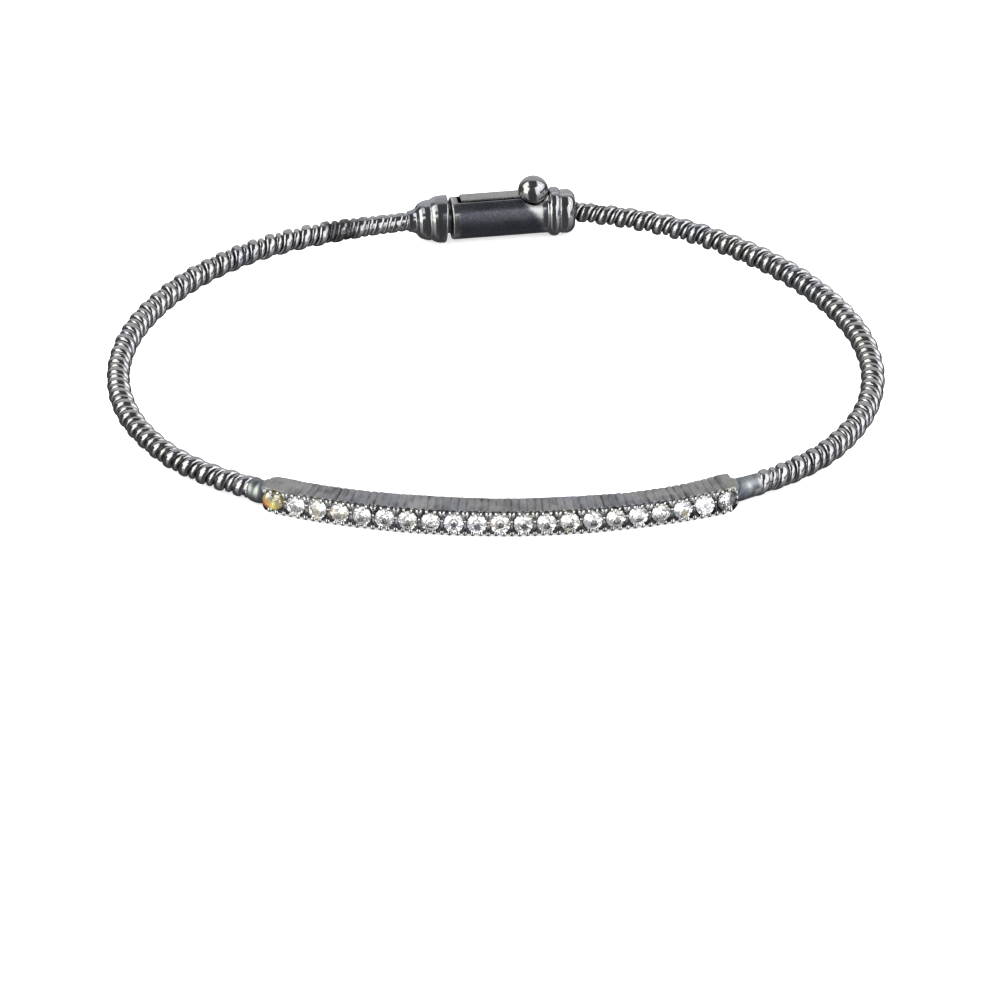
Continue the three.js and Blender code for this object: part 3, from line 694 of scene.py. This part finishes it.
def brilliant(R, table_r, crown_deg, pavilion_deg, lower=0.24, star=0.56, girdle=0.035):
    """Round brilliant about +Z with its girdle at 0: points and facets."""
    tc, tp = math.tan(rad(crown_deg)), math.tan(rad(pavilion_deg))
    c8 = math.cos(rad(22.5))
    T = [(table_r * math.cos(rad(45 * k)), table_r * math.sin(rad(45 * k)), girdle / 2 + (R - table_r) * tc) for k in range(8)]
    rm = table_r + (R - table_r) * star
    M = [(rm * math.cos(rad(45 * k + 22.5)), rm * math.sin(rad(45 * k + 22.5)), girdle / 2 + (R - rm * c8) * tc) for k in range(8)]
    G1 = [(R * math.cos(rad(22.5 * k)), R * math.sin(rad(22.5 * k)), girdle / 2) for k in range(16)]
    G0 = [(x, y, -girdle / 2) for x, y, _ in G1]
    rp = R * lower
    P = [(rp * math.cos(rad(45 * k + 22.5)), rp * math.sin(rad(45 * k + 22.5)), -girdle / 2 - (R - rp * c8) * tp) for k in range(8)]
    C = [(0, 0, -girdle / 2 - R * tp)]
    v = T + M + G1 + G0 + P + C
    t, m, g1, g0, p, c = 0, 8, 16, 32, 48, 56
    f = [[t + k for k in range(8)]]
    for k in range(8):
        n = (k + 1) % 8
        f.append([t + k, m + k, t + n])                                  # star
        f.append([t + k, m + (k - 1) % 8, g1 + 2 * k, m + k])            # bezel
        f.append([m + k, g1 + 2 * k, g1 + 2 * k + 1])
        f.append([m + k, g1 + 2 * k + 1, g1 + (2 * k + 2) % 16])
        f.append([p + k, g0 + 2 * k + 1, g0 + 2 * k])
        f.append([p + k, g0 + (2 * k + 2) % 16, g0 + 2 * k + 1])
        f.append([c, p + k, g0 + 2 * k, p + (k - 1) % 8])
    for k in range(16):
        n = (k + 1) % 16
        f.append([g1 + k, g0 + k, g0 + n, g1 + n])
    return np.array(v), f


rng = np.random.RandomState(23)
sv, sf, tint, painted_fire_glow, tint_and_painted_fire, n0 = [], [], [], [], [], 0
for i, a in enumerate(stone_a):
    v, f = brilliant(0.75, 0.75 * 0.57, 34.5, 40.8 + rng.uniform(-0.6, 0.6))
    spin = rng.uniform(0, 2 * math.pi)
    c, s = math.cos(spin), math.sin(spin)
    v = v @ np.array([[c, s, 0], [-s, c, 0], [0, 0, 1]])
    ax = bar_axes(a, rad(-11 + rng.uniform(-7, 7)))
    yaw = rad(rng.uniform(-6, 6))
    shift = -0.20 if i == 0 else 0.05 if i == STONE_COUNT - 1 else 0.0
    ax = np.array([math.cos(yaw) * ax[0] + math.sin(yaw) * ax[1], -math.sin(yaw) * ax[0] + math.cos(yaw) * ax[1], ax[2]])
    # stone's own x along the bar, y up, z outwards
    w = bar_point(a + shift, STONE_GIRDLE_R - BAR_INNER_R, MID_Z - 0.01 + 0.3 * float(table(TOP_LIFT, a)) * (a > 14)) + v[:, :1] * ax[0] + v[:, 1:2] * ax[2] + v[:, 2:] * ax[1]
    sv.append(w)
    sf += [[q + n0 for q in face] for face in f]
    tint.append(np.full(len(v), i, float))
    # painted fire: the stones glow (emission) and are tinted in colours: the first from yellow at its left to
    # red at its lower left, the others in small flecks, all with a faint glow
    col = np.zeros((len(v), 3))
    body = np.tile([0.97, 0.97, 0.98], (len(v), 1))
    if i == 0:
        x, y = v[:, 0] / 0.75, v[:, 1] / 0.75
        yellow = np.clip(np.exp(-((x - 0.15) ** 2 + (y + 0.40) ** 2) / 0.35 ** 2) + 0.7 * np.exp(-((x + 0.60) ** 2 + (y - 0.30) ** 2) / 0.26 ** 2), 0, 1)[:, None]
        red = np.exp(-((x + 0.55) ** 2 + (y + 0.42) ** 2) / 0.34 ** 2)[:, None]
        share = np.clip(yellow + red, 0, 1)
        body = body * (1 - share) + share * ((1 - red) * [0.97, 0.88, 0.20] + red * [0.97, 0.32, 0.08])
        col = yellow * (1 - red) * [0.90, 0.72, 0.02] + red * [0.95, 0.22, 0.02]
        col = col * rng.uniform(0.3, 1, len(v))[:, None] + 0.05 * (1 - share)
    else:
        for colour, odds, amount in (([0.60, 0.44, 0.06], 0.06 if i in (2, 3) else 0.012, 0.3), ([0.75, 0.36, 0.15], 0.010, 0.25),
                                     ([0.22, 0.24, 0.60], 0.03, 0.2)):
            hit = rng.uniform(0, 1, len(v)) < odds
            col[hit] += np.array(colour) * amount
        col += 0.01
    tint_and_painted_fire.append(body)
    painted_fire_glow.append(np.clip(col, 0, 1))
    n0 += len(v)
stones = build("stones", np.concatenate(sv), sf, {"which": np.concatenate(tint), "painted_fire_glow": np.concatenate(painted_fire_glow), "tint_and_painted_fire": np.concatenate(tint_and_painted_fire)}, smooth=False)

# --------------------------------------------------------------------- clasp
turn = rad(CLASP_TURN)
CLASP = Matrix.Translation(Vector(CLASP_AT) * MM) @ Matrix.Rotation(turn, 4, "Z")
COLLAR_LEAN = rad(-7.0)
BALL_AT, BALL_R = np.array([6.72, 0.0, 2.0]), 1.24
# where the ball goes when it is pressed: the scoop clears it all the way
SCOOP_FROM, SCOOP_TO, SCOOP_R = np.array([6.70, 0.0, 2.2]), np.array([6.797, 0.0, 1.724]), 1.265


def rho_of(p):
    return np.hypot(p[:, 1], p[:, 2])


def barrel_sdf(p):
    u, rho = p[:, 0], rho_of(p)
    body = disc_sdf(u, rho, -0.10, 8.3, 1.74, 0.16)
    # collar, leaning towards the arm
    c, s = math.cos(-COLLAR_LEAN), math.sin(-COLLAR_LEAN)
    q = p - [7.7, 0, 0]
    cu, cv = q[:, 0] * c - q[:, 1] * s, q[:, 0] * s + q[:, 1] * c
    crho = np.hypot(cv, p[:, 2])
    ring1 = disc_sdf(cu, crho, 0.24, 1.22, 2.01, 0.44, 0.44)
    ring2 = np.maximum(disc_sdf(cu, crho, 1.12, 2.45, 1.80, 0.30), disc_sdf(cu, crho, 0.40, 2.45, 1.80, 0.75))
    body = smin(body, disc_sdf(cu, crho, -0.4, 0.5, 1.70, 0.2), 0.10)
    body = smin(body, ring1, 0.14)
    body = smin(body, ring2, 0.07)
    # bore, slot and scoop
    bore = np.maximum(rho - 1.25, u - 6.9)
    body = smax(body, -bore, 0.05)
    slot = box_sdf(p, (0.46, -0.54, 0.9), (8.0, 0.80, 4.0), 0.16)
    slot = np.maximum(slot, u - 6.72)
    body = smax(body, -slot, 0.06)
    axis = SCOOP_TO - SCOOP_FROM
    h = np.clip(((p - SCOOP_FROM) @ axis) / (axis @ axis), 0, 1)
    scoop = np.linalg.norm(p - SCOOP_FROM - h[:, None] * axis, axis=1) - SCOOP_R
    body = smax(body, -scoop, 0.05)
    end = np.hypot(cv, p[:, 2]) - 0.92
    body = smax(body, -np.maximum(end, 2.0 - cu), 0.08)
    body = body + 0.006 * noise3(p, 0.9, 31) * (rho > 1.5)
    return body


_u = np.arange(-4.2, 0.8, 0.005)
_r = np.interp(_u, *zip(
    (-4.2, 0.80), (-3.62, 0.84), (-3.26, 0.92), (-3.02, 1.02), (-2.90, 1.16), (-2.78, 1.33), (-2.6, 1.47), (-2.3, 1.59),
    (-1.95, 1.67), (-1.84, 1.66), (-1.77, 1.60), (-1.70, 1.68), (-1.55, 1.78), (-1.28, 1.89), (-1.0, 1.93), (-0.6, 1.94), (0.8, 1.94)))
_w = np.hanning(23) / np.hanning(23).sum()
_r = np.convolve(np.pad(_r, 11, mode="edge"), _w, "valid")


def cap_sdf(p):
    u, rho = p[:, 0], rho_of(p)
    body = (rho - np.interp(u, _u, _r)) * 0.8
    body = smax(body, -3.62 - u, 0.05)
    face = u + 0.45 - 0.07 * p[:, 2] - 0.05 * p[:, 1]
    body = smax(body, face, 0.16)
    hollow = np.maximum(rho - 0.56, u + 2.72)
    body = np.maximum(body, -hollow)
    tongue = box_sdf(p, (-1.2, -0.5, -0.5), (4.8, 0.5, 0.45), 0.05)
    body = smin(body, tongue, 0.05)
    body = np.minimum(body, disc_sdf(u, rho, -1.0, 0.34, 1.20, 0.03))      # the plug that fills the mouth
    return body + 0.006 * noise3(p, 0.8, 37)


def lever_sdf(p):
    # rounded plate with a lug, a hook and the ball
    plate = box_sdf(p, (0.72, -0.44, 1.25), (7.0, 0.70, 1.80), 0.07)
    lug_r = np.hypot(p[:, 0] - 3.6, p[:, 2] - 1.0)
    lug = np.maximum(lug_r - 0.42, np.abs(p[:, 1]) - 0.70)
    hook = box_sdf(p, (0.80, -0.7, 0.32), (1.10, 0.7, 1.5), 0.04)
    ball = np.linalg.norm(p - BALL_AT, axis=1) - BALL_R
    body = smin(plate, lug, 0.06)
    body = smin(body, hook, 0.05)
    body = smin(body, ball, 0.05)
    eye = np.maximum(lug_r - 0.25, np.abs(p[:, 1]) - 1)
    return np.maximum(body, -eye)


def clasp_piece(name, sdf, lo, hi, h, groove, dull, polish=lambda v: np.zeros(len(v)), brushed=lambda v: np.zeros(len(v))):
    v, f, n = skin(sdf, lo, hi, h)
    obj = build(name, v, f, {"groove": groove(v), "soot": np.zeros(len(v)), "polish": polish(v), "dull": dull(v), "brushed": brushed(v)}, normals=n)
    obj.data.transform(CLASP)
    return obj


def rub_line(v):
    """How far past the slanting line beside the ball, where the dull skin is
    rubbed off; and the angle round the barrel, 0 in front, 90 on top."""
    around = np.degrees(np.arctan2(v[:, 2], -v[:, 1]))
    return v[:, 0] - np.interp(around, (-60, -10, 10, 30, 46, 58, 75, 120), (7.45, 7.15, 6.80, 6.35, 5.85, 5.75, 6.2, 6.6)), around


def blackened(v):
    past, _ = rub_line(v)
    return smooth01(v[:, 0], 0.20, 0.65) * (1 - smooth01(past, -0.25, 0.35)) * (1 - slot_rim(v))


def slot_rim(v):
    return np.exp(-((v[:, 1] + 0.57) / 0.045) ** 2) * (rho_of(v) > 1.6) * smooth01(v[:, 2], 0.5, 1.0) * smooth01(v[:, 0], 0.4, 0.6)


def flare(v):
    past, around = rub_line(v)
    return smooth01(past, -0.15, 0.45) * smooth01(around, -25, 15) * (1 - smooth01(v[:, 0], 7.22, 7.40)) * (rho_of(v) > 1.6)


def scooped(v):
    return (np.linalg.norm(v - SCOOP_TO, axis=1) < SCOOP_R + 0.05) * (rho_of(v) < 1.76)


def rubbed(v):
    _, around = rub_line(v)
    nick = sum(np.exp(-((v[:, 0] - u) ** 2 + (1.74 * np.radians(around - t)) ** 2) / 0.045 ** 2) for u, t in ((0.74, 11.4), (6.14, -0.5)))
    mouth = (1 - smooth01(v[:, 0], 0.0, 0.16)) * (rho_of(v) > 1.5)
    return np.clip(0.95 * flare(v) + 0.9 * nick + 0.45 * mouth + 0.6 * slot_rim(v) + 0.6 * scooped(v), 0, 1)


FINE = 0.055
# groove: painted shade inside the bore, slot and scoop walls, less in the scoop
barrel = clasp_piece("barrel", barrel_sdf, (-0.2, -2.2, -2.2), (10.6, 2.2, 2.2), FINE,
                     lambda v: (1 - smooth01(rho_of(v), 1.2, 1.62)) * (1 - 0.8 * scooped(v)),
                     blackened, rubbed, lambda v: np.maximum(flare(v), 0.6 * (1 - smooth01(v[:, 0], 0.0, 0.2))))
# groove: painted shade on the plug and tongue inside the barrel's mouth
cap = clasp_piece("cap", cap_sdf, (-3.8, -2.1, -2.1), (5.0, 2.1, 2.1), FINE,
                  lambda v: smooth01(v[:, 0], -0.45, -0.30) * (1 - smooth01(rho_of(v), 1.0, 1.6)),
                  lambda v: 0.25 * smooth01(v[:, 0], -1.7, -1.2))
# groove: painted shade below the plate, on the lug and hook inside the barrel
lever = clasp_piece("lever_and_ball", lever_sdf, (0.5, -1.4, 0.1), (8.1, 1.4, 3.4), FINE,
                    lambda v: 1 - smooth01(v[:, 2], 1.2, 1.5), lambda v: v[:, 0] * 0)

# ----------------------------------------------------------------- materials


class Nodes:
    def __init__(self, name):
        self.mat = bpy.data.materials.new(name)
        self.mat.use_nodes = True
        self.t = self.mat.node_tree
        self.t.nodes.clear()
        self.out = self.t.nodes.new("ShaderNodeOutputMaterial")

    def new(self, kind, **values):
        n = self.t.nodes.new(kind)
        for k, v in values.items():
            if k in n.inputs:
                n.inputs[k].default_value = v
            else:
                setattr(n, k, v)
        return n

    def link(self, a, b):
        self.t.links.new(a, b)

    def noise(self, scale, detail=3.0, rough=0.55, coords=None):
        n = self.new("ShaderNodeTexNoise")
        n.inputs["Scale"].default_value = scale
        n.inputs["Detail"].default_value = detail
        n.inputs["Roughness"].default_value = rough
        self.link(coords or self.coords(), n.inputs["Vector"])
        return n.outputs["Fac"]

    def coords(self):
        if not hasattr(self, "_c"):
            self._c = self.new("ShaderNodeTexCoord").outputs["Object"]
        return self._c

    def remap(self, value, a, b, c, d):
        n = self.new("ShaderNodeMapRange")
        for k, x in zip(("From Min", "From Max", "To Min", "To Max"), (a, b, c, d)):
            n.inputs[k].default_value = x
        self.link(value, n.inputs["Value"])
        return n.outputs["Result"]

    def mix(self, fac, a, b, blend="MIX"):
        n = self.new("ShaderNodeMix", data_type="RGBA", blend_type=blend)
        if isinstance(fac, float):
            n.inputs[0].default_value = fac
        else:
            self.link(fac, n.inputs[0])
        for slot, x in ((6, a), (7, b)):
            if isinstance(x, tuple):
                n.inputs[slot].default_value = (*x, 1.0)
            else:
                self.link(x, n.inputs[slot])
        return n.outputs[2]

    def attribute(self, name):
        return self.new("ShaderNodeAttribute", attribute_name=name).outputs["Fac"]

    def math(self, op, a, b=0.0):
        n = self.new("ShaderNodeMath", operation=op)
        for i, x in enumerate((a, b)):
            if isinstance(x, (int, float)):
                n.inputs[i].default_value = x
            else:
                self.link(x, n.inputs[i])
        return n.outputs[0]


def silver(name, base, dark, rough, grain=0.35, tint=0.5, depth=(0.04, 0.04, 0.045)):
    """Blackened silver: a grey skin that thins and deepens in patches, black in
    the grooves (the oxide there, with painted shade), with a fine satin grain,
    and the necks' mottle with painted highlights."""
    m = Nodes(name)
    patches = m.noise(620, 4, 0.6)
    fine = m.noise(5200, 3, 0.6)
    hue = m.noise(260, 2, 0.5)
    colour = m.mix(m.remap(patches, 0.35, 0.68, 0, 1), dark, base)
    colour = m.mix(m.remap(hue, 0.52, 0.70, 0, tint), colour, (0.22, 0.24, 0.33))
    colour = m.mix(m.remap(hue, 0.48, 0.32, 0, tint), colour, (0.30, 0.30, 0.24))
    colour = m.mix(m.remap(fine, 0.3, 0.7, 0.0, 0.35), colour, (0.14, 0.14, 0.155))
    # groove: the oxide in the hollows together with painted shade, mixed towards the depth colour
    groove = m.remap(m.attribute("groove"), 0.15, 0.95, 0.0, 0.97)
    colour = m.mix(groove, colour, depth)
    soot = m.math("MULTIPLY", m.attribute("soot"), m.remap(m.noise(2600, 3, 0.6), 0.35, 0.55, 0.45, 1.0))
    colour = m.mix(soot, colour, (0.045, 0.045, 0.05))
    polish = m.attribute("polish")
    colour = m.mix(m.math("MULTIPLY", polish, 0.9), colour, (0.80, 0.80, 0.79))
    # the necks' mottle with painted highlights: dark blue-grey to pale
    mottle_and_highlight = m.mix(m.attribute("mottle_and_painted_highlight"), (0.095, 0.105, 0.140), (0.42, 0.45, 0.435))
    colour = m.mix(m.math("MULTIPLY", m.attribute("satin"), 0.85), colour, mottle_and_highlight)
    b = m.new("ShaderNodeBsdfPrincipled")
    b.inputs["Metallic"].default_value = 1.0
    worn = m.mix(m.remap(m.noise(7000, 3, 0.7), 0.42, 0.62, 0, 1), (0.042, 0.045, 0.060), (0.105, 0.11, 0.14))
    colour = m.mix(m.math("MULTIPLY", m.attribute("dull"), 0.85), colour, worn)
    m.link(colour, b.inputs["Base Color"])
    r = m.math("ADD", m.remap(fine, 0.3, 0.7, rough - 0.05, rough + 0.06), m.remap(patches, 0.3, 0.7, -0.03, 0.04))
    r = m.math("ADD", r, m.math("MULTIPLY", groove, 0.15))
    r = m.math("ADD", r, m.math("MULTIPLY", soot, 0.22))
    r = m.math("SUBTRACT", r, m.math("MULTIPLY", polish, rough * 0.55))
    r = m.math("ADD", r, m.math("MULTIPLY", m.attribute("satin"), 0.24))
    r = m.math("ADD", r, m.math("MULTIPLY", m.attribute("dull"), 0.18))
    r = m.math("ADD", r, m.math("MULTIPLY", m.attribute("brushed"), 0.26))
    m.link(r, b.inputs["Roughness"])
    bump = m.new("ShaderNodeBump")
    bump.inputs["Strength"].default_value = grain
    bump.inputs["Distance"].default_value = 0.00002
    height = m.math("ADD", m.math("MULTIPLY", fine, 0.6), m.noise(1500, 3, 0.5))
    height = m.math("ADD", height, m.math("MULTIPLY", soot, m.noise(3500, 3, 0.6)))
    m.link(height, bump.inputs["Height"])
    m.link(bump.outputs["Normal"], b.inputs["Normal"])
    m.link(b.outputs["BSDF"], m.out.inputs["Surface"])
    return m.mat


wound_mat = silver("wound_silver", (0.45, 0.45, 0.455), (0.36, 0.36, 0.37), 0.095, 0.12, 0.3)
bar_mat = silver("bar_silver", (0.41, 0.405, 0.407), (0.265, 0.265, 0.268), 0.20, 0.6, 0.6)
clasp_mat = silver("clasp_silver", (0.43, 0.435, 0.455), (0.33, 0.335, 0.36), 0.13, 0.18, 0.3)
lever_mat = silver("lever_silver", (0.40, 0.40, 0.395), (0.33, 0.33, 0.335), 0.14, 0.15, 0.35)


def stone_material():
    m = Nodes("brilliant")
    b = m.new("ShaderNodeBsdfPrincipled")
    b.inputs["Roughness"].default_value = 0.0
    b.inputs["IOR"].default_value = 2.2
    b.inputs["Transmission Weight"].default_value = 1.0
    # base colour: colourless, but tinted yellow and red on the first stone as painted fire
    tint_and_painted_fire = m.new("ShaderNodeAttribute", attribute_name="tint_and_painted_fire")
    m.link(tint_and_painted_fire.outputs["Color"], b.inputs["Base Color"])
    # emission: painted fire, the stones glow in colours though they are no lamp
    fire_glow_node = m.new("ShaderNodeAttribute", attribute_name="painted_fire_glow")
    m.link(fire_glow_node.outputs["Color"], b.inputs["Emission Color"])
    b.inputs["Emission Strength"].default_value = 1.0
    m.link(b.outputs["BSDF"], m.out.inputs["Surface"])
    return m.mat


stone_mat = stone_material()

for obj, mat, body, nodes, slot in (
    (arm_left, wound_mat, "bangle", ["wire_arm_left"], "wound_silver"),
    (arm_right, wound_mat, "bangle", ["wire_arm_right"], "wound_silver"),
    (bar_obj, bar_mat, "bangle", ["stone_bar"], "bar_silver"),
    (stones, stone_mat, "bangle", ["stone_row"], "stone"),
    (barrel, clasp_mat, "bangle", ["clasp_barrel"], "clasp_silver"),
    (cap, clasp_mat, "bangle", ["end_cap"], "clasp_silver"),
    (lever, lever_mat, "lever", ["thumb_lever"], "lever_silver"),
):
    obj.data.materials.clear()
    obj.data.materials.append(mat)
    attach(obj, body)
    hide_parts(*nodes)
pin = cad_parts["lever_pin"]
pin.data.materials.clear()
pin.data.materials.append(lever_mat)

# --------------------------------------------------------- floor, light, world
floor_mesh = bpy.data.meshes.new("floor")
half = 3.0
floor_mesh.from_pydata([(-half, -half, 0), (half, -half, 0), (half, half, 0), (-half, half, 0)], [], [(0, 1, 2, 3)])
floor = bpy.data.objects.new("floor", floor_mesh)
bpy.context.scene.collection.objects.link(floor)
m = Nodes("pale_floor")
b = m.new("ShaderNodeBsdfDiffuse")
b.inputs["Color"].default_value = (0.93, 0.93, 0.935, 1)
e = m.new("ShaderNodeEmission")
e.inputs["Color"].default_value = (1, 1, 1, 1)
e.inputs["Strength"].default_value = 0.55
s = m.new("ShaderNodeAddShader")
m.link(b.outputs[0], s.inputs[0])
m.link(e.outputs[0], s.inputs[1])
m.link(s.outputs[0], m.out.inputs["Surface"])
floor_mesh.materials.append(m.mat)
floor.visible_glossy = False
floor.visible_shadow = False


def softbox(name, azimuth, elevation, width, height, radiance, colour, distance=0.6):
    """A rectangular softbox facing the bangle. Azimuth from +X towards -Y, its
    width and height as angles seen from the bangle."""
    az, el = rad(azimuth), rad(elevation)
    d = Vector((math.cos(el) * math.cos(az), -math.cos(el) * math.sin(az), math.sin(el)))
    data = bpy.data.lights.new(name, "AREA")
    data.shape = "RECTANGLE"
    data.size = 2 * distance * math.tan(rad(width) / 2)
    data.size_y = 2 * distance * math.tan(rad(height) / 2)
    data.energy = radiance * math.pi * data.size * data.size_y
    data.color = colour
    obj = bpy.data.objects.new(name, data)
    obj.location = d * distance
    across = Vector((math.sin(az), math.cos(az), 0.0))
    obj.rotation_euler = Matrix((across, d.cross(across), d)).transposed().to_euler()
    bpy.context.scene.collection.objects.link(obj)
    return obj


softbox("softbox_left_front", 150, 19, 37, 46, 3.0, (0.98, 1.0, 0.89))
softbox("softbox_left_back", 183, 39, 36, 40, 2.8, (0.99, 1.0, 0.96))
softbox("softbox_right_back", -14, 38, 36, 54, 2.2, (1.0, 1.0, 1.0))
softbox("softbox_right_middle", 20, 33, 32, 42, 2.3, (0.985, 0.985, 1.0))
softbox("softbox_right_front", 52, 22, 30, 58, 2.4, (0.985, 0.985, 1.0))

world = bpy.data.worlds.new("studio")
bpy.context.scene.world = world
world.use_nodes = True
wt = world.node_tree
wt.nodes.clear()
wo = wt.nodes.new("ShaderNodeOutputWorld")
tc = wt.nodes.new("ShaderNodeTexCoord")
sep = wt.nodes.new("ShaderNodeSeparateXYZ")
wt.links.new(tc.outputs["Generated"], sep.inputs[0])
X, Y, Z = sep.outputs["X"], sep.outputs["Y"], sep.outputs["Z"]


def wmath(op, a, b=0.0):
    n = wt.nodes.new("ShaderNodeMath")
    n.operation = op
    for i, x in enumerate((a, b)):
        if isinstance(x, (int, float)):
            n.inputs[i].default_value = x
        else:
            wt.links.new(x, n.inputs[i])
    return n.outputs[0]


def wrange(value, a, b, c=0.0, d=1.0):
    n = wt.nodes.new("ShaderNodeMapRange")
    n.interpolation_type = "SMOOTHSTEP"
    for k, x in zip(("From Min", "From Max", "To Min", "To Max"), (a, b, c, d)):
        n.inputs[k].default_value = x
    wt.links.new(value, n.inputs["Value"])
    return n.outputs["Result"]


def both(*values):
    out = values[0]
    for v in values[1:]:
        out = wmath("MULTIPLY", out, v)
    return out


# a white sweep behind, the ceiling and the room in front dark, and the light of
# the two sides falling on the table left and right
level_xy = wmath("SQRT", wmath("ADD", wmath("MULTIPLY", X, X), wmath("MULTIPLY", Y, Y)))
HX, HY = wmath("DIVIDE", X, level_xy), wmath("DIVIDE", Y, level_xy)
sweep = both(wrange(Y, 0.26, 0.38), wrange(HY, 0.62, 0.80), wrange(Z, -0.10, -0.02))
below = wrange(Z, 0.0, -0.06)
spill = wmath("MAXIMUM", wmath("ADD", wmath("MULTIPLY", Z, 1.0), 1.05), 0.14)
spill_right = both(wrange(HX, 0.40, 0.55), wrange(HY, 0.30, 0.12))
spill_left = both(wrange(HX, -0.52, -0.66), wrange(HY, -0.12, -0.32))
table_light = both(below, spill, wmath("MAXIMUM", spill_right, spill_left))
level = wmath("ADD", wmath("ADD", wmath("MULTIPLY", sweep, 0.78), table_light), 0.13)
path = wt.nodes.new("ShaderNodeLightPath")


def background(colour, strength):
    n = wt.nodes.new("ShaderNodeBackground")
    n.inputs["Color"].default_value = (*colour, 1)
    if isinstance(strength, (int, float)):
        n.inputs["Strength"].default_value = strength
    else:
        wt.links.new(strength, n.inputs["Strength"])
    return n.outputs[0]


def choose(fac, a, b):
    n = wt.nodes.new("ShaderNodeMixShader")
    wt.links.new(fac, n.inputs[0])
    wt.links.new(a, n.inputs[1])
    wt.links.new(b, n.inputs[2])
    return n.outputs[0]


studio = background((0.98, 0.985, 1.0), level)
glow = background((1.0, 1.0, 1.0), wmath("ADD", wmath("MULTIPLY", level, 0.7), 0.29))
room = choose(path.outputs["Is Transmission Ray"], studio, glow)
room = choose(path.outputs["Is Diffuse Ray"], room, background((1, 1, 1), 0.8))
wt.links.new(choose(path.outputs["Is Camera Ray"], room, background((1, 1, 1), 1.0)), wo.inputs["Surface"])

view = bpy.context.scene.view_settings
view.view_transform = "Standard"
view.look = "None"
view.exposure = 0.0
view.gamma = 1.0
